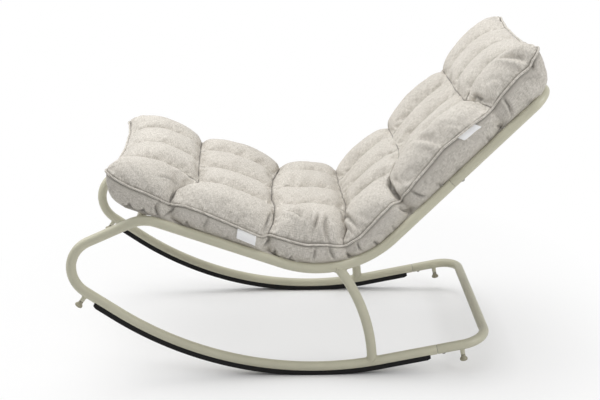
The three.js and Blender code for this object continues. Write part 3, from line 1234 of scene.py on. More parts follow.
@dataclass
class RubberTreads:
    """The two rubber treads under the rockers, pressed flat where the chair stands."""

    frame: TubeFrame
    width: float = 23 * MM
    tail: float = 139.5 * MM
    nose: float = 64 * MM
    end_length: float = 10 * MM
    facet: float = 0.8
    bed_gap: float = 0.15 * MM
    lip: float = 1.0 * MM
    wall_drop: float = 1.6 * MM
    shoulder_width: float = 0.3 * MM
    bed_steps: int = 12
    groove: float = 1.3 * MM
    groove_place: float = 3.6 * MM
    groove_floor_share: float = 0.6
    end_reach: float = 30 * MM
    taper_start: float = 17 * MM
    taper_share: float = 0.6
    squash_depth: float = 2 * MM
    squash_share: float = 0.105

    def outline(self) -> list[tuple[float, float]]:
        """The section, up being towards the tube: a saddle on top and two grooves in the sole.

        Returns:
            The section's points, across and up.
        """
        side = self.width / 2
        bed = self.frame.radius + self.bed_gap
        sole = -(self.frame.radius + self.frame.tread_depth)
        shoulder = -math.sqrt(bed ** 2 - side ** 2)
        wall = shoulder - self.wall_drop
        points = [(-side, wall), (-side, sole + self.lip), (-side + self.lip, sole)]
        floor = self.groove * self.groove_floor_share
        for middle in (-self.groove_place, self.groove_place):
            points += [(middle - self.groove, sole), (middle - floor, sole + self.groove),
                       (middle + floor, sole + self.groove), (middle + self.groove, sole)]
        points += [(side - self.lip, sole), (side, sole + self.lip), (side, wall)]
        edge = side - self.shoulder_width
        points.append((edge, shoulder))
        for step in range(1, self.bed_steps):
            across = edge - 2 * edge * step / self.bed_steps
            points.append((across, -math.sqrt(bed ** 2 - across ** 2)))
        points.append((-edge, shoulder))
        return points

    def shape(self, piece: Piece, route: Route, middle: float) -> None:
        """Tapers a tread's ends, and presses it flat on the floor.

        Args:
            piece: The tread.
            route: Its route.
            middle: Its place across.
        """
        ends = ((route.start, under(self.frame.rear_rise)), (route.place, under(-self.frame.front_rise)))
        for corner in piece.data.vertices:
            for end, down in ends:
                arm = corner.co - end
                if abs(arm.dot(down.cross(Y))) < 0.01 * MM and arm.length < self.end_reach:
                    corner.co -= down * max(0.0, arm.dot(down) - self.taper_start) * self.taper_share
            if corner.co.z < 0:
                pressed = min(1.0, -corner.co.z / self.squash_depth)
                corner.co.y += (corner.co.y - middle) * self.squash_share * pressed
                corner.co.z = 0.0

    def build(self) -> None:
        """Draws each tread along its rocker and shapes it."""
        frame = self.frame
        outline = [(across, -up) for across, up in self.outline()]
        for side in Side:
            middle = frame.half * side.way
            start = frame.rocker_place(frame.rear_rise) + backward(frame.rear_rise) * self.tail + Y * middle
            route = Route(start, -backward(frame.rear_rise), Y.copy())
            route.straight(self.end_length).straight(self.tail - self.end_length)
            route.bend(frame.rocker_radius, frame.rear_rise + frame.front_rise, self.facet)
            route.straight(self.nose - self.end_length).straight(self.end_length)
            piece = route.draw(f"tread_strip_{side.label}", outline)
            self.shape(piece, route, middle)
            outward(piece)
            smooth(piece, 32)
            frame.shop.dress(piece, Slot.RUBBER, "frame", f"rocker_tread_{side.label}")


@dataclass
class StopFeet:
    """The four stop feet: a welded boss, a threaded stud and a flared pad each.

    Their profiles hold (radius, height over the tube's centreline) in millimetres.
    """

    frame: TubeFrame
    front_place: float = 97 * MM
    rear_place: float = 71 * MM
    pitch: float = 1.25 * MM
    stud_radius: float = 4 * MM
    stud_start: float = 16 * MM
    stud_end: float = 38.5 * MM
    stud_corners: int = 24
    rings_per_turn: int = 8
    thread_depth: float = 0.62 * MM
    end_depth: float = 0.6 * MM
    boss_radius: float = 6.5 * MM
    boss_bead: float = 1.5 * MM
    boss: Line = ((4.7, 9), (6.5, 9), (6.5, 28.1), (6.1, 28.8), (5.6, 29), (4.9, 29), (4.7, 28.7), (4.7, 9))
    pad: Line = (
        (0, 38.8), (4.3, 38.8), (4.3, 30.8), (4.7, 30.5), (5.7, 30.5), (6.1, 30.7), (6.25, 31.2), (6.25, 35.6),
        (6.5, 36.9), (7.3, 38.3), (8.7, 40.2), (9.9, 41.7), (10.7, 42.8), (11, 43.8), (11, 46.2), (10.8, 46.9),
        (10.2, 47.4), (9.4, 47.5), (8.0, 47.5), (7.7, 47.1), (7.1, 47.1), (6.8, 47.5), (0, 47.5),
    )

    def stud(self, name: str, place: Vector, axis: Vector) -> Piece:
        """A stud with a right-hand thread.

        Args:
            name: The stud's name.
            place: The spot on the tube's centreline.
            axis: The way out.

        Returns:
            The stud.
        """
        length = self.stud_end - self.stud_start
        count = round(length / self.pitch * self.rings_per_turn)
        rings = []
        for ring in range(count + 1):
            height = self.stud_start + length * ring / count
            depths = [self.end_depth] * self.stud_corners
            if 0 < ring < count:
                phases = [(height / self.pitch - i / self.stud_corners) % 1.0 for i in range(self.stud_corners)]
                depths = [self.thread_depth * (1 - abs(2 * phase - 1)) for phase in phases]
            rings.append(([self.stud_radius - depth for depth in depths], height))
        return ring_stack(name, place, axis, rings, 30)

    def build_foot(self, corner: str, side: Side, place: Vector, rise: float) -> None:
        """Builds one foot: the boss with its weld, the pad and the stud.

        Args:
            corner: front or rear.
            side: The sitter's side.
            place: The foot's spot on the tube's centreline.
            rise: The tube's rise in degrees.
        """
        axis = under(rise)
        dress = self.frame.shop.dress
        tail = f"{corner}_{{}}_{side.label}"
        boss = turned(tail.format("boss"), self.boss, place, axis)
        dress(boss, Slot.PAINT, "frame", tail.format("foot_boss"))
        bead = self.frame.weld(tail.format("boss_weld"), place, axis, self.boss_radius, backward(rise),
                               self.boss_bead)
        dress(bead, Slot.PAINT, "frame")
        pad = turned(tail.format("pad"), self.pad, place, axis, 48)
        dress(pad, Slot.PLASTIC, tail.format("pad"), tail.format("foot_pad"))
        stud = self.stud(tail.format("stud"), place, axis)
        dress(stud, Slot.BOLT_STEEL, tail.format("stud"), tail.format("foot_stud"))

    def build(self) -> None:
        """Builds the four feet."""
        frame = self.frame
        spots = {
            "front": (frame.nose_start - backward(-frame.front_rise) * self.front_place, -frame.front_rise),
            "rear": (frame.rear_joint + backward(frame.rear_rise) * self.rear_place, frame.rear_rise),
        }
        for corner, (spot, rise) in spots.items():
            for side in Side:
                self.build_foot(corner, side, spot + Y * frame.half * side.way, rise)


# Cushion


def wander(*axes: Array | float) -> Array:
    """Smooth noise at places that three lists of coordinates give, where a number counts for a whole list."""
    return np.array([noise.noise(Vector(place)) for place in np.stack(np.broadcast_arrays(*axes), axis=1)])


def from_line(points: Array, line: Array) -> tuple[Array, Array]:
    """Signed distances of flat points from a broken line, and how far along it the nearest place is.

    Args:
        points: Flat points.
        line: The line's corners.

    Returns:
        Distances and shares of the line's length.
    """
    best = np.full(len(points), np.inf)
    place = np.zeros(len(points))
    lengths = np.linalg.norm(np.diff(line, axis=0), axis=1)
    walked = 0.0
    for start, end, length in zip(line, line[1:], lengths):
        way = (end - start) / length
        part = np.clip((points - start) @ way, 0, length)
        offset = points - start - part[:, None] * way
        gap = np.linalg.norm(offset, axis=1)
        gap = np.where(offset[:, 0] * way[1] - offset[:, 1] * way[0] < 0, -gap, gap)
        closer = np.abs(gap) < np.abs(best)
        best = np.where(closer, gap, best)
        place = np.where(closer, walked + part, place)
        walked += length
    return best, place / lengths.sum()


@dataclass(frozen=True)
class Fold:
    """A crease in the cloth along (along, across) points in millimetres.

    across is the width from the middle, or the height over the sole where the fold is on a side.
    """

    points: Line
    depth: float
    width: float

    @classmethod
    def pinch(cls, along: float, lean: float, depth: float, width: float) -> "Fold":
        """A short fold over the lower edge of a side.

        Args:
            along: Where it starts, on the side.
            lean: How far along it runs to reach the edge, and again to reach the sole.
            depth: Its depth.
            width: Its width.

        Returns:
            The fold.
        """
        return cls(((along, 17), (along + lean, 8), (along + 2 * lean, -4)), depth, width)

    @staticmethod
    def profile(near: Array) -> Array:
        """The section: a groove with a lip laid over one side of it and a faint swell on the other.

        Args:
            near: Distances from the fold's line.

        Returns:
            Heights at these distances.
        """
        lip = 0.5 * np.exp(-((near - 2.4) / 1.5) ** 2)
        swell = 0.12 * np.exp(-((near + 4) / 1.6) ** 2)
        return np.where(near > 0, lip - np.exp(-np.abs(near) ** 1.5), swell - np.exp(-(near / 1.7) ** 2))

    def press(self, flat: Array) -> tuple[Array, Array]:
        """Works out what the fold does to the cloth.

        Args:
            flat: (along, across) of the cloth's corners in metres.

        Returns:
            How far each corner moves outwards in metres, and how much painted shade darkens its groove, from 0
            to 1.
        """
        line = even_spacing(np.array([(a, b, 0) for a, b in self.points]) * MM, 4 * MM, False)[:, :2]
        gap, place = from_line(flat, line)
        taper = np.sin(np.clip(place, 0.02, 0.98) * math.pi) ** 0.6
        lift = self.depth * MM * taper * self.profile(gap / (self.width * MM * 0.36))
        # Painted shade along the fold's line, darker for deeper and narrower folds
        shade = min(0.8, self.depth / self.width) * taper * np.exp(-((gap / MM - 0.5) / 3) ** 2)
        return lift, shade


@dataclass(frozen=True)
class Tag:
    """A cloth tag in the left side seam, in millimetres along the sole and down the side."""

    name: str
    start: float
    end: float
    drop: float
    lean: float


@dataclass
class Shell:
    """The cushion's closed cloth shell, and the numbers of the corners on its seams."""

    points: list[Array]
    flat: list[Array]
    ring: Array
    sole_ring: Array
    row_seams: Array
    column_seams: Array
    faces: list[tuple] = field(default_factory=list)
    pinned: Array = field(init=False)


@dataclass
class QuiltedCushion:
    """The long loose cushion: six rows and four columns of channels, a boxed side and a piped seam."""

    frame: TubeFrame
    gauge: float = 14.3 * MM
    half_width: float = 300 * MM
    sole_half_width: float = 296 * MM
    sole_front: float = -75 * MM
    sole_rear: float = 1240 * MM
    seam_front: float = -178 * MM
    seam_length: float = 1491 * MM
    row_count: int = 6
    column_count: int = 4
    row_steps: int = 40
    column_steps: int = 26
    side_steps: int = 8
    # Cloth: how far a channel may swell, in how many frames, and how firmly the side is held
    swelling: float = 22 * MM
    swelling_frames: int = 20
    side_hold: float = 0.5
    seam_crease: float = 0.85
    # The quilted top: the power and the share of roundness of a channel along and across
    row_puff: tuple[float, float] = (2.2, 0.54)
    column_puff: tuple[float, float] = (2.0, 0.44)
    column_dip: float = 24 * MM
    # Where the outermost channels start and how far they take to count in full
    outer_channel: tuple[float, float] = (165 * MM, 60 * MM)
    end_fullness: float = 0.85
    tip_rows: float = 0.34
    # How squarely the top closes down to the sides and ends, and what a full or outermost channel changes
    shoulder_power: tuple[float, float] = (2.7, 2.8)
    shoulder_round: float = 0.62
    end_rows: float = 0.5
    end_power: tuple[float, float] = (2.6, 3)
    end_round: tuple[float, float] = (0.6, 0.1)
    corner_reach: float = 34 * MM
    draw_reach: float = 20 * MM
    # The boxed side and the sole
    side_bulge: float = 9 * MM
    side_step: float = 7 * MM
    wall_power: float = 0.24
    top_wall_power: float = 0.42
    top_end_share: float = 0.97
    sole_sag: float = 5 * MM
    sole_edge_sag: float = 3.5 * MM
    # Gathers beside the row seams and along the lower edge, and where they start
    seam_gather: float = 2.6 * MM
    gather_height: float = 48 * MM
    sole_gather: float = 5 * MM
    sole_gather_height: float = 18 * MM
    gather_width: float = 285 * MM
    seam_sink: float = 2.6 * MM
    fold_overlap: float = 3 * MM
    side_fold_width: float = 270 * MM
    unevenness: float = 1.6 * MM
    unevenness_height: float = 8 * MM
    # Trims, and how far apart they lie from the cover on the flat cloth
    piping_radius: float = 3.1 * MM
    piping_lift: float = 3.6 * MM
    piping_step: float = 3.5 * MM
    piping_smoothings: int = 4
    piping_wobble_share: float = 0.07
    piping_apart: float = 3000 * MM
    tag_thickness: float = 0.5 * MM
    tag_apart: float = 4000 * MM
    tags: tuple[Tag, ...] = (Tag("seat_tag", 212, 268, 26, 5), Tag("back_tag", 992, 1050, 17, 10))

    # (across, along) of each row seam and of both ends, front to top, in millimetres
    seams: tuple[Line, ...] = (
        ((-300, -181), (-250, -165), (-150, -154), (0, -150), (150, -154), (250, -166), (300, -180)),
        ((-300, 16), (-270, 19), (-240, 26), (-214, 42), (-185, 68), (-150, 78), (-35, 71), (109, 66),
         (263, 64), (300, 62)),
        ((-300, 298), (-262, 303), (-211, 306), (-140, 307), (-98, 297), (0, 297), (91, 300),
         (200, 318), (300, 327)),
        ((-300, 541), (-286, 543), (-255, 564), (-200, 571), (-104, 585), (-22, 579), (114, 571),
         (300, 567)),
        ((-300, 764), (-276, 762), (-248, 762), (-212, 768), (-180, 782), (-140, 806), (-60, 822),
         (60, 824), (300, 812)),
        ((-300, 1112), (-270, 1104), (-240, 1096), (-200, 1082), (-140, 1066), (0, 1061), (156, 1062),
         (300, 1060)),
        ((-300, 1313), (-250, 1300), (-150, 1290), (0, 1286), (150, 1288), (250, 1296), (300, 1305)),
    )
    # (along, height over the sole) of the piped seam on each side, in millimetres
    near_seam: Line = (
        (-178, 77), (-151, 70), (-126, 63), (-96, 58), (-54, 56), (-12, 50), (18, 41), (36, 50), (56, 56),
        (99, 55), (157, 50), (231, 43), (270, 39), (286, 36), (293, 38), (299, 48), (345, 54), (430, 53),
        (469, 56), (500, 50), (543, 34), (575, 44), (600, 46), (640, 54), (700, 60), (744, 59), (754, 47),
        (760, 37), (766, 39), (772, 51), (800, 56), (832, 62), (893, 68), (944, 76), (985, 72), (1043, 68),
        (1090, 60), (1112, 58), (1140, 68), (1161, 72), (1217, 78), (1253, 74), (1270, 82), (1313, 90),
    )
    far_seam: Line = (
        (-180, 56), (-60, 56), (64, 64), (190, 56), (327, 62), (450, 55), (567, 62), (690, 54), (812, 60),
        (930, 60), (1060, 74), (1180, 70), (1305, 70),
    )
    front_seam: Line = ((-300, 77), (-270, 75), (-220, 68), (-150, 62), (0, 60), (150, 60), (300, 56))
    top_seam: Line = ((-300, 92), (-270, 90), (-225, 80), (-150, 74), (0, 74), (200, 72), (300, 70))
    # How far the near and the far edge draw in at each row seam, and how high the seams lie over the sole
    near_draws: tuple[float, ...] = (0, 15, 17, 12, 27, 13, 0)
    far_draws: tuple[float, ...] = (0, 12, 12, 12, 12, 12, 0)
    seam_heights: tuple[float, ...] = (64, 80, 80, 76, 76, 82, 76)
    # Height of each channel's crest, a row of the cushion to a line, from the left edge to the right,
    # where across they stand, and how much higher the corners' channels rise at the two ends
    crest_places: tuple[float, ...] = (-225, -75, 75, 225)
    front_tip: float = 4
    top_tip: float = 12
    crests: tuple[tuple[float, ...], ...] = (
        (114, 121, 117, 125),
        (110, 104, 104, 123),
        (140, 126, 132, 134),
        (116, 100, 90, 112),
        (126, 84, 80, 112),
        (124, 117, 112, 122),
    )
    folds: tuple[Fold, ...] = (
        Fold(((-45, -268), (-22, -252), (2, -238), (26, -222)), 3.5, 6),
        Fold(((20, -252), (17, -270), (16, -286)), 4, 7),
        Fold(((824, -100), (806, -136), (782, -170), (766, -204), (761, -240), (761, -292)), 12, 11),
        Fold(((284, -286), (288, -262), (290, -240), (296, -222)), 5, 6),
        Fold(((330, -226), (348, -237), (364, -250), (386, -263)), 12, 15),
        Fold(((429, -240), (427, -262), (427, -280)), 2.5, 8),
        Fold(((464, -250), (448, -272), (434, -290)), 9, 15),
        Fold(((508, -250), (490, -270), (486, -284), (494, -296)), 10, 17),
        Fold(((572, -202), (590, -250), (602, -276), (612, -294)), 10, 13),
        Fold(((405, -286), (398, -274), (392, -262)), 2.5, 9),
        Fold(((900, -214), (920, -244), (934, -268), (950, -290)), 8, 18),
        Fold(((1091, -208), (1100, -226), (1106, -248), (1112, -266)), 6, 7),
        Fold(((1204, -200), (1226, -238), (1240, -262), (1252, -276), (1262, -292)), 12, 16),
        Fold(((1140, -246), (1166, -266), (1190, -286)), 3, 14),
        Fold(((-120, -262), (-100, -272), (-84, -286)), 2.5, 12),
        Fold(((196, -268), (214, -276), (236, -284)), 2, 14),
        Fold(((985, -262), (1002, -274), (1020, -288)), 2.5, 12),
    )
    side_folds: tuple[Fold, ...] = (
        Fold(((-10, 46), (-17, 32), (-10, 14), (2, 2)), 8, 8),
        Fold(((30, 44), (25, 24), (12, 6)), 5, 7),
        Fold(((127, 50), (125, 28), (121, 10)), 6, 8),
        Fold(((302, 46), (303, 30), (298, 10)), 7, 8),
        Fold(((447, 50), (445, 30), (442, 10)), 7, 8),
        Fold(((492, 48), (498, 26), (503, 10)), 8, 9),
        Fold(((586, 38), (582, 24), (584, 8)), 7, 7),
        Fold(((650, 36), (660, 24), (676, 12)), 3, 10),
        Fold(((748, 38), (750, 22), (756, 4)), 8, 8),
        Fold(((803, 54), (807, 36), (812, 22), (824, 6)), 8, 8),
        Fold(((1153, 64), (1149, 54), (1146, 36), (1134, 10)), 8, 8),
        Fold(((1218, 68), (1238, 54), (1260, 40)), 3, 11),
        Fold(((1268, 80), (1254, 66)), 6, 9),
    )
    # (along, lean, depth, width) of the small pinches over the lower edge of the left side
    pinches: tuple[tuple[float, float, float, float], ...] = (
        (-88, 3, 7, 9), (-44, -2, 6, 8), (74, 3, 6, 9), (196, -2, 4, 10), (328, 2, 6, 8),
        (381, -3, 6, 9), (542, 2, 5, 9), (626, 3, 6, 8), (700, -2, 4, 9), (866, 3, 6, 9),
        (930, 2, 4, 10), (1052, -3, 6, 9), (1088, 3, 6, 8), (1190, 2, 4, 10),
    )

    def along_sole(self, along: Array, height: Array, across: Array) -> Array:
        """Places points by their distance along the sole, height over it and width from the middle.

        Args:
            along: Metres from the rear end of the knee bend, along the sole.
            height: Metres over the sole.
            across: Metres from the chair's middle.

        Returns:
            Points in the row frame.
        """
        frame = self.frame
        low = -math.radians(frame.seat_slope)
        turn = math.radians(frame.seat_slope + frame.back_slope)
        inner = frame.hip_radius - self.gauge
        arc = np.clip((along - frame.seat) / inner, 0, turn)
        run = np.where(along < frame.seat, along - frame.seat, np.maximum(0, along - frame.seat - inner * turn))
        rise = low + arc
        reach = frame.hip_radius - self.gauge - height
        x = frame.hip_centre.x + reach * np.sin(rise) + run * np.cos(rise)
        z = frame.hip_centre.z - reach * np.cos(rise) + run * np.sin(rise)
        return np.stack([x, across + 0 * x, z], axis=-1)

    def on_sole(self, points: Array) -> tuple[Array, Array]:
        """Finds how far along the sole points lie and how high over it.

        Args:
            points: Points in the row frame.

        Returns:
            The distances along and the heights.
        """
        frame = self.frame
        low, high = -math.radians(frame.seat_slope), math.radians(frame.back_slope)
        inner = frame.hip_radius - self.gauge
        x, z = points[:, 0] - frame.hip_centre.x, points[:, 2] - frame.hip_centre.z
        rise = np.clip(np.arctan2(x, -z), low, high)
        run = x * np.cos(rise) + z * np.sin(rise)
        reach = x * np.sin(rise) - z * np.cos(rise)
        return frame.seat + inner * (rise - low) + run, inner - reach

    @staticmethod
    def crowd(channels: int, steps: int) -> Array:
        """Places of the grid's lines across some channels, closer together beside the seams."""
        even = np.arange(channels * steps + 1) / steps
        return even - 0.55 * np.sin(2 * math.pi * even) / (2 * math.pi)

    @staticmethod
    def channel_of(places: Array, channels: int) -> tuple[Array, Array]:
        """The number of the channel that each place is in, and how far through it the place is."""
        whole = np.clip(np.floor(places).astype(int), 0, channels - 1)
        return whole, places - whole

    @staticmethod
    def puff(part: Array, power: float, round_share: float) -> Array:
        """How full a channel is from one seam, at 0, to the next, at 1."""
        return (1 - np.abs(2 * part - 1) ** power) ** round_share

    @staticmethod
    def track(points: Line, at: Array) -> Array:
        """Reads a line of (place, value) points in millimetres at places in metres, smoothed a little.

        Args:
            points: The line's points.
            at: The places.

        Returns:
            The values in metres.
        """
        cuts, reach = 400, 9
        places, values = np.array(points, dtype=float).T
        line = np.linspace(places[0], places[-1], cuts)
        read = np.interp(line, places, values)
        half = max(1, round(reach / (line[1] - line[0])))
        kernel = np.hanning(2 * half + 3)[1:-1]
        padded = np.pad(read, half, mode="edge")
        return np.interp(at / MM, line, np.convolve(padded, kernel / kernel.sum(), mode="valid")) * MM

    def rim(self, along: Array, across: Array) -> Array:
        """The piped seam's height over the sole, on the side that each place is nearer to."""
        return np.where(across < 0, self.track(self.near_seam, along), self.track(self.far_seam, along))

    def edge_line(self, near: bool, along: Array) -> Array:
        """The width of the piped seam from the middle, at places along a side.

        Args:
            near: Whether it is the left side.
            along: The places.

        Returns:
            The seam's places across.
        """
        draws = self.near_draws if near else self.far_draws
        edge = -self.half_width if near else self.half_width
        marks = [self.track(seam, np.array([edge]))[0] for seam in self.seams]
        inward = np.zeros_like(along)
        for mark, draw in zip(marks, draws):
            inward = np.maximum(inward, draw * MM * np.exp(-np.abs((along - mark) / self.draw_reach) ** 1.5))
        return self.half_width - inward

    def channel_level(self, rows: Array, columns: Array, across: Array,
                      outermost: Array) -> tuple[Array, Array]:
        """The height of the channels between their seams, before the edges close down to the piped seam.

        Args:
            rows: As for top_sheet.
            columns: As for top_sheet.
            across: The width from the middle.
            outermost: 1 in the channels along the edge, 0 in the middle.

        Returns:
            The heights over the sole, and how full each channel is there.
        """
        row, part = self.channel_of(rows, self.row_count)
        seam = np.array(self.seam_heights) * MM
        valley = seam[row] * (1 - part) + seam[row + 1] * part
        bulge = self.puff(part, *self.row_puff)
        bulge += (1 - bulge) * self.end_fullness * outermost * (np.abs(rows - 3) > 2.5)
        column, through = self.channel_of(columns, self.column_count)
        outer = (column == 0) & (through < 0.5) | (column == self.column_count - 1) & (through > 0.5)
        hump = np.where(outer, 1, self.puff(through, *self.column_puff))
        crests = np.array([np.interp(across / MM, self.crest_places, line) for line in self.crests])
        tip = np.exp(-(np.minimum(rows, self.row_count - rows) / self.tip_rows) ** 2) * outermost
        lifts = np.where(rows < self.row_count / 2, self.front_tip, self.top_tip)
        crest = (crests[row, np.arange(len(rows))] + lifts * tip) * MM
        return valley + (crest - valley) * bulge - self.column_dip * (1 - hump) * bulge, bulge

    def top_sheet(self, rows: Array, columns: Array) -> tuple[Array, Array, Array]:
        """The quilted top: along, height and across, in metres.

        Args:
            rows: From 0 at the front end to 6 at the top.
            columns: From 0 at the sitter's left edge to 4 at the right.

        Returns:
            The three arrays.
        """
        share = columns / self.column_count * 2 - 1
        side = np.abs(share)
        across = self.half_width * share
        lines = np.stack([self.track(seam, across) for seam in self.seams])
        row, part = self.channel_of(rows, self.row_count)
        picks = np.arange(len(rows))
        along = lines[row, picks] * (1 - part) + lines[row + 1, picks] * part
        edge = np.where(share < 0, self.edge_line(True, along), self.edge_line(False, along))
        across = across + np.sign(share) * (edge - self.half_width) * side ** 6
        inner, span = self.outer_channel
        outermost = np.clip((np.abs(across) - inner) / span, 0, 1) * np.where(share < 0, 1, 0.5)
        level, bulge = self.channel_level(rows, columns, across, outermost)

        front = rows < self.row_count / 2
        power, more = self.shoulder_power
        shoulder = np.maximum(1 - side ** (power + more * bulge), 0) ** self.shoulder_round
        end_rim = np.where(front, self.track(self.front_seam, across), self.track(self.top_seam, across))
        close = np.clip(np.minimum(rows, self.row_count - rows) / self.end_rows, 0, 1)
        (power, more), (rounding, less) = self.end_power, self.end_round
        lift = (1 - (1 - close) ** (power + more * outermost)) ** (rounding - less * outermost)
        side_pull = 1 / (shoulder + 1e-6)
        end_pull = 1 / (lift + 1e-6)
        fill = (side_pull ** 3 + end_pull ** 3 - 1) ** (-1 / 3)
        rim = self.rim(along, share)
        low = (rim * (side_pull - 1) + end_rim * (end_pull - 1)) / (side_pull + end_pull - 2 + 1e-9)
        height = low + (level - low) * fill

        start, end = self.track(self.seams[0], across), self.track(self.seams[-1], across)
        out = np.clip(1 - (self.half_width - np.abs(across)) / self.corner_reach, 0, 1)
        on = np.clip(1 - np.minimum(along - start, end - along) / self.corner_reach, 0, 1)
        turn = 1 - np.maximum(out, on) / np.maximum(np.hypot(out, on), 1e-9)
        across = across - np.sign(share) * self.corner_reach * out * turn
        along = along + np.where(front, 1, -1) * self.corner_reach * on * turn
        return along, height, across

    def side_wall(self, shell: Shell, sheets: tuple[Array, ...]) -> list[Array]:
        """Adds the boxed side's corners to the shell, between its top and its sole.

        Args:
            shell: The shell, with its top and sole.
            sheets: along, height and across of the top, and share, reached, sole_along and sag of the sole.

        Returns:
            The corner numbers of each level, from the piped seam to the sole.
        """
        top, ring = shell.points[0], shell.ring
        along, height, across, share, reached, sole_along, sag = (values[ring] for values in sheets)
        edge_step = np.linalg.norm(top[np.roll(ring, -1)] - top[ring], axis=1)
        walked = np.concatenate([[0], np.cumsum(edge_step)[:-1]])
        levels = [ring]
        start = 2 * len(top)
        for step in range(1, self.side_steps):
            up = 1 - step / self.side_steps
            full = np.where(reached > self.top_end_share, up ** self.top_wall_power, up ** self.wall_power)
            bulge = self.side_bulge * math.sin(math.pi * up)
            width = across * (1 - up) * self.sole_half_width / self.half_width + across * up
            width = width + np.sign(share) * bulge * (np.abs(share) > 0.999)
            mid_along = sole_along + (along - sole_along) * full
            shell.points.append(self.along_sole(mid_along, height * up - sag * (1 - up), width))
            shell.flat.append(np.stack([walked, np.full(len(ring), -1 - step * self.side_step)], axis=1))
            levels.append(start + np.arange(len(ring)))
            start += len(ring)
        return [*levels, len(top) + ring]

    def lay_out(self) -> Shell:
        """Lays out the closed cloth shell: the quilted top, the sole and the boxed side between them.

        Returns:
            The shell's corners, faces and seams.
        """
        down, wide = self.row_count * self.row_steps, self.column_count * self.column_steps
        rows = np.repeat(self.crowd(self.row_count, self.row_steps), wide + 1)
        columns = np.tile(self.crowd(self.column_count, self.column_steps), down + 1)
        along, height, across = self.top_sheet(rows, columns)
        share = columns / self.column_count * 2 - 1
        reached = (along - self.seam_front) / self.seam_length
        sole_along = self.sole_front + (self.sole_rear - self.sole_front) * np.clip(reached, 0, 1)
        sag = (self.sole_sag * (1 - share ** 2) * np.abs(np.sin(reached * math.pi * 4))
               + self.sole_edge_sag * share ** 12)
        number = np.arange((down + 1) * (wide + 1)).reshape(down + 1, wide + 1)
        ring = np.concatenate([number[0, :-1], number[:-1, -1], number[-1, :0:-1], number[:0:-1, 0]])
        count = number.size
        shell = Shell(
            points=[self.along_sole(along, height, across),
                    self.along_sole(sole_along, -sag, share * self.sole_half_width)],
            flat=[np.stack([along, across], axis=1), np.stack([sole_along, across + 2], axis=1)],
            ring=ring, sole_ring=count + ring,
            row_seams=number[::self.row_steps][1:-1],
            column_seams=number[:, ::self.column_steps][:, 1:-1].T)
        levels = self.side_wall(shell, (along, height, across, share, reached, sole_along, sag))
        for a, d, c, b in quads(down, wide + 1, False):
            shell.faces += [(a, b, c, d), (count + a, count + d, count + c, count + b)]
        for upper, lower in zip(levels, levels[1:]):
            shell.faces += zip(upper, np.roll(upper, -1), np.roll(lower, -1), lower)
        shell.pinned = np.zeros(sum(len(part) for part in shell.points))
        shell.pinned[2 * count:] = self.side_hold
        for held in (slice(count, 2 * count), shell.row_seams.ravel(), shell.column_seams.ravel(), ring):
            shell.pinned[held] = 1
        return shell

    def swell(self, piece: Piece, pinned: Array) -> None:
        """Blows the cloth up between its seams by cloth simulation, and keeps the result.

        Args:
            piece: The cloth shell.
            pinned: How firmly each corner is held, from 0 to 1.
        """
        rest = read_corners(piece.data)
        group = piece.vertex_groups.new(name="held")
        for level in np.unique(pinned):
            if level > 0:
                group.add([int(i) for i in np.nonzero(pinned == level)[0]], float(level), "REPLACE")
        modifier = piece.modifiers.new("Cloth", "CLOTH")
        cloth = modifier.settings
        cloth.quality = 4
        cloth.mass = 0.25
        cloth.tension_stiffness = 12
        cloth.compression_stiffness = 12
        cloth.shear_stiffness = 4
        cloth.bending_stiffness = 0.35
        cloth.air_damping = 4
        cloth.use_pressure = True
        cloth.uniform_pressure_force = 4
        cloth.effector_weights.gravity = 0
        cloth.vertex_group_mass = group.name
        cloth.shrink_min = -0.05
        modifier.collision_settings.use_collision = False
        modifier.point_cache.frame_start = 1
        modifier.point_cache.frame_end = self.swelling_frames
        scene = bpy.context.scene
        for frame_number in range(1, self.swelling_frames + 1):
            scene.frame_set(frame_number)
        move = read_corners(piece.evaluated_get(bpy.context.evaluated_depsgraph_get()).data) - rest
        length = np.linalg.norm(move, axis=1, keepdims=True)
        log.info("cloth moved %.1f mm on average and %.1f mm at most", length.mean() / MM, length.max() / MM)
        move *= np.minimum(1, self.swelling / np.maximum(length, 1e-9)) * (1 - pinned[:, None])
        piece.modifiers.remove(modifier)
        piece.vertex_groups.remove(group)
        write_corners(piece.data, rest + move)
        scene.frame_set(1)

    def gather(self, piece: Piece) -> None:
        """Presses small gathers beside the row seams and along the sole's edge, and sinks the piped seam.

        Args:
            piece: The cover.
        """
        points, normals = read_corners(piece.data), read_corners(piece.data, "normal")
        along, height = self.on_sole(points)
        across = points[:, 1]
        move = np.zeros(len(points))
        for number, seam in enumerate(self.seams[1:-1]):
            gap = (along - self.track(seam, across)) / MM
            beside = np.exp(-(gap / 26) ** 2) * (1 - np.exp(-(gap / 6) ** 2))
            wave = wander(across * 42, number * 5.3, 0.4)
            move += self.seam_gather * wave * beside * (height > self.gather_height)
        wave = wander(along * 34, np.copysign(5, across), 0.4)
        low = np.exp(-(height / self.sole_gather_height) ** 2)
        move += self.sole_gather * wave * low * (np.abs(across) > self.gather_width)
        points = points + normals * move[:, None]
        points[self.shell.ring] -= normals[self.shell.ring] * self.seam_sink
        write_corners(piece.data, points)

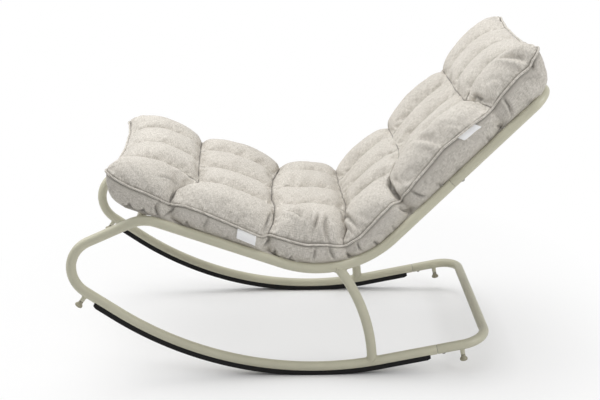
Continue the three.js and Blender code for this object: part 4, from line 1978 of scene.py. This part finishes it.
    def mark_seams(self, mesh: Mesh) -> None:
        """Marks how much painted shade darkens each corner on the seams and the piped edge, and creases the
        edges along the seams.

        Args:
            mesh: The cover's mesh.
        """
        shell = self.shell
        # Painted shade on the seam lines: full on the row seams and the piped edge, a little less on the column
        # seams
        painted_shade = np.zeros(len(mesh.vertices))
        painted_shade[shell.column_seams.ravel()] = 0.95
        painted_shade[shell.row_seams.ravel()] = 1
        painted_shade[shell.ring] = 1
        mesh.attributes.new("groove", "FLOAT", "POINT").data.foreach_set("value", painted_shade)
        ends = np.empty(len(mesh.edges) * 2, dtype=int)
        mesh.edges.foreach_get("vertices", ends)
        closed = [[*line, line[0]] for line in (shell.ring, shell.sole_ring)]
        lines = {frozenset((int(a), int(b))) for line in (*closed, *shell.row_seams, *shell.column_seams)
                 for a, b in zip(line, line[1:])}
        pairs = ends.reshape(-1, 2).tolist()
        values = [self.seam_crease if frozenset(pair) in lines else 0.0 for pair in pairs]
        mesh.attributes.new("crease_edge", "FLOAT", "EDGE").data.foreach_set("value", values)

    def press_folds(self, piece: Piece) -> None:
        """Presses the folds and a soft unevenness into the cloth, and adds painted shade along the folds.

        Args:
            piece: The cover.
        """
        mesh = piece.data
        points, normals = read_corners(mesh), read_corners(mesh, "normal")
        along, height = self.on_sole(points)
        across = points[:, 1]
        rim = self.rim(along, across)
        move = np.zeros(len(points))
        painted_shade = np.zeros(len(points))
        mesh.attributes["groove"].data.foreach_get("value", painted_shade)
        on_top = height > rim - self.fold_overlap
        on_side = (across < -self.side_fold_width) & (height < rim)
        side_folds = (*self.side_folds, *(Fold.pinch(*pinch) for pinch in self.pinches))
        for folds, flat, chosen in ((self.folds, np.stack([along, across], axis=1), on_top),
                                    (side_folds, np.stack([along, height], axis=1), on_side)):
            for fold in folds:
                lift, shade = fold.press(flat)
                move += np.where(chosen, lift, 0)
                # Painted shade along each fold, kept where it is darker than the seams' painted shade
                painted_shade = np.maximum(painted_shade, np.where(chosen, shade, 0))
        mesh.attributes["groove"].data.foreach_set("value", painted_shade)
        lumps = wander(along * 14, across * 14, 3.1) + 0.5 * wander(along * 33, across * 33, 7.7)
        move += lumps * self.unevenness * (height > self.unevenness_height)
        write_corners(mesh, points + normals * move[:, None])

    def build_cover(self) -> Piece:
        """Makes the cloth shell, swells it and folds it.

        Returns:
            The cushion's cover.
        """
        self.shell = self.lay_out()
        piece = mesh_piece("cushion_cover", np.vstack(self.shell.points), self.shell.faces)
        lay_flat(piece.data, np.vstack(self.shell.flat))
        outward(piece, 0)
        self.swell(piece, self.shell.pinned)
        self.gather(piece)
        self.mark_seams(piece.data)
        apply_modifier(piece, "SUBSURF", levels=1, render_levels=1)
        self.press_folds(piece)
        smooth(piece, 180)
        return piece

    def build_piping(self, cover: Piece) -> Piece:
        """Sews the piping cord round the edge seam.

        Args:
            cover: The cushion's cover.

        Returns:
            The cord.
        """
        rim = read_corners(cover.data)[self.shell.ring]
        normals = read_corners(cover.data, "normal")[self.shell.ring]
        line = even_spacing(rim + normals * self.piping_lift, self.piping_step, True)
        for _ in range(self.piping_smoothings):
            line = (np.roll(line, 1, axis=0) + 2 * line + np.roll(line, -1, axis=0)) / 4
        wobble = 1 + self.piping_wobble_share * wander(np.arange(len(line)) * 0.35, 0.0, 2.2)
        cord = cord_mesh("cushion_piping", line, self.piping_radius * wobble, 3)
        self.lay_trim(cord, self.piping_apart)
        return cord

    @staticmethod
    def lay_trim(trim: Piece, apart: float) -> None:
        """Lays a trim flat on the cloth.

        Args:
            trim: The cord or tag.
            apart: How far it lies from the cover on the flat cloth.
        """
        points = read_corners(trim.data)
        lay_flat(trim.data, np.stack([points[:, 0] + points[:, 2], points[:, 1] + apart], axis=1))

    def build_tag(self, tag: Tag, cover: Piece) -> Piece:
        """Sews a bare white tag into the left side seam.

        Args:
            tag: The tag's place and size.
            cover: The cushion's cover.

        Returns:
            The tag.
        """
        tree = BVHTree.FromObject(cover, bpy.context.evaluated_depsgraph_get())
        steps, falls = 12, 7
        points = []
        stand_off, flare, ripple = 2.2 * MM, 2.5 * MM, 0.8 * MM
        for fall in range(falls + 1):
            down = fall / falls
            for step in range(steps + 1):
                along = np.array([(tag.start + (tag.end - tag.start) * step / steps + tag.lean * down) * MM])
                height = self.track(self.near_seam, along) - (0.5 + tag.drop * down) * MM
                x, _, z = self.along_sole(along, height, np.zeros(1))[0]
                hit = tree.ray_cast(Vector((x, -0.45, z)), Y)[0]
                depth = hit.y if hit is not None else -self.half_width
                curl = stand_off + flare * down ** 2 + ripple * math.sin(step / steps * 5 + down)
                points.append((x, depth - curl, z))
        piece = mesh_piece(tag.name, points, quads(falls, steps + 1, False))
        apply_modifier(piece, "SOLIDIFY", thickness=self.tag_thickness, offset=0)
        outward(piece)
        apply_modifier(piece, "SUBSURF", levels=1, render_levels=1)
        smooth(piece, 50)
        self.lay_trim(piece, self.tag_apart)
        return piece

    def build(self) -> None:
        """Builds the cushion with its piping and tags."""
        shop = self.frame.shop
        cover = self.build_cover()
        shop.dress(cover, Slot.CLOTH, "cushion", "cushion")
        cord = shop.dress(self.build_piping(cover), Slot.CLOTH, "cushion")
        log.info("piping has %d faces", len(cord.data.polygons))
        for tag in self.tags:
            piece = shop.dress(self.build_tag(tag, cover), Slot.CLOTH, "cushion")
            piece.data.materials[0] = shop.tag_cloth
            (tag.end - tag.start) * MM


# Stage


@dataclass
class Studio:
    """The pale floor, the soft lamps, the white backdrop and the camera."""

    eye: Vector = field(default_factory=lambda: Vector((-0.0781, -3.1608, 1.5185)))
    right: Vector = field(default_factory=lambda: Vector((0.99973, -0.0231, 0)))
    ahead: Vector = field(default_factory=lambda: Vector((0.0218, 0.9443, -0.3283)))
    lens: float = 67.23
    sensor: float = 36
    far_limit: float = 60
    all_round: float = 0.32
    floor_size: float = 30
    floor_depth: float = 0.5 * MM
    floor_grey: float = 0.86
    # Metres from the middle where the floor starts to turn white and where it is white
    whitening: tuple[float, float] = (0.55, 1.15)
    whitening_stretch: tuple[float, float, float] = (1, 0.8, 0)
    least_white: float = 0.62
    contact_reach: float = 0.14
    contact_levels: tuple[float, float] = (0.55, 0.97)
    aim: Vector = field(default_factory=lambda: Vector((0, 0, 0.4)))

    def build_camera(self) -> None:
        """Sets the camera at the photograph's angle."""
        data = bpy.data.cameras.new("camera")
        data.lens = self.lens
        data.sensor_width = self.sensor
        data.sensor_fit = "HORIZONTAL"
        data.clip_end = self.far_limit
        back = -self.ahead.normalized()
        side = (self.right - back * self.right.dot(back)).normalized()
        up = back.cross(side)
        camera = add_object("camera", data)
        camera.matrix_world = Matrix.Translation(self.eye) @ Matrix((side, up, back)).transposed().to_4x4()
        bpy.context.scene.camera = camera

    def build_world(self) -> None:
        """Lights the scene all round, and shows white behind it."""
        world = bpy.data.worlds.new("studio")
        world.use_nodes = True
        bpy.context.scene.world = world
        sky = NodeSheet(world.node_tree)
        seen = sky.white_rays()
        strength = (1 - seen) * self.all_round + seen
        light = sky.node("ShaderNodeBackground", {}, {"Color": (1, 1, 1, 1), "Strength": strength})
        sky.node("ShaderNodeOutputWorld", {}, {"Surface": light.outputs[0]})

    def paper(self) -> Material:
        """Makes the floor's pale paper, which turns white away from the chair but for its shadow.

        Returns:
            The material.
        """
        paper = Finish("floor_paper", 0.1)
        paper.wear(Base_Color=(self.floor_grey,) * 3 + (1,), Roughness=0.9)
        away = paper.scaled(paper.place(), self.whitening_stretch)
        span = paper.node("ShaderNodeVectorMath", {"operation": "LENGTH"}, {0: away})
        far = paper.levels(Value(paper, span.outputs["Value"]), *self.whitening, self.least_white, 1)
        near = paper.node("ShaderNodeAmbientOcclusion", {"samples": 8}, {"Distance": self.contact_reach})
        clear = paper.levels(Value(paper, near.outputs["AO"]), *self.contact_levels, 0, 1)
        white = paper.node("ShaderNodeEmission", {}, {"Color": (1, 1, 1, 1), "Strength": 1.0})
        mix = paper.node("ShaderNodeMixShader", {}, {
            0: far * clear * paper.white_rays(), 1: paper.surface.outputs[0], 2: white.outputs[0]})
        paper.feed(paper.exit.inputs["Surface"], mix.outputs[0])
        return paper.material

    def build_floor(self) -> None:
        """Lays the floor."""
        deselect()
        bpy.ops.mesh.primitive_plane_add(size=self.floor_size, location=(0, 0, -self.floor_depth))
        floor = bpy.context.object
        floor.name = "floor"
        bpy.ops.object.transform_apply(location=True, rotation=True, scale=True)
        floor.data.materials.append(self.paper())

    def lamp(self, name: str, place: tuple[float, float, float], size: float, watts: float) -> None:
        """Hangs a square soft box that looks at the chair.

        Args:
            name: The lamp's name.
            place: Where it hangs.
            size: Its side.
            watts: Its power.
        """
        data = bpy.data.lights.new(name, "AREA")
        data.size = size
        data.energy = watts
        spot = Vector(place)
        way = (self.aim - spot).to_track_quat("-Z", "Y")
        add_object(name, data).matrix_world = Matrix.Translation(spot) @ way.to_matrix().to_4x4()

    def build(self) -> None:
        """Builds the stage."""
        bpy.context.scene.view_settings.view_transform = "Standard"
        self.build_camera()
        self.build_world()
        self.build_floor()
        self.lamp("sky_box", (-0.7, 0.6, 3.4), 2.4, 84)
        self.lamp("side_box", (-3.0, 0.3, 2.2), 1.8, 26)
        self.lamp("right_box", (1.9, -1.5, 1.7), 1.2, 21)


def main() -> None:
    """Builds the chair and its stage."""
    logging.basicConfig(level=logging.INFO, format="%(message)s")
    frame_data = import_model()
    shop = Workshop()
    tubes = TubeFrame(shop)
    tubes.build()
    RubberTreads(tubes).build()
    StopFeet(tubes).build()
    QuiltedCushion(tubes).build()
    for name, node in frame_data["nodes"].items():
        if "spigot" in name:
            shop.coat_node(node, Slot.INNER_STEEL)
    Studio().build()


if __name__ == "__main__":
    main()
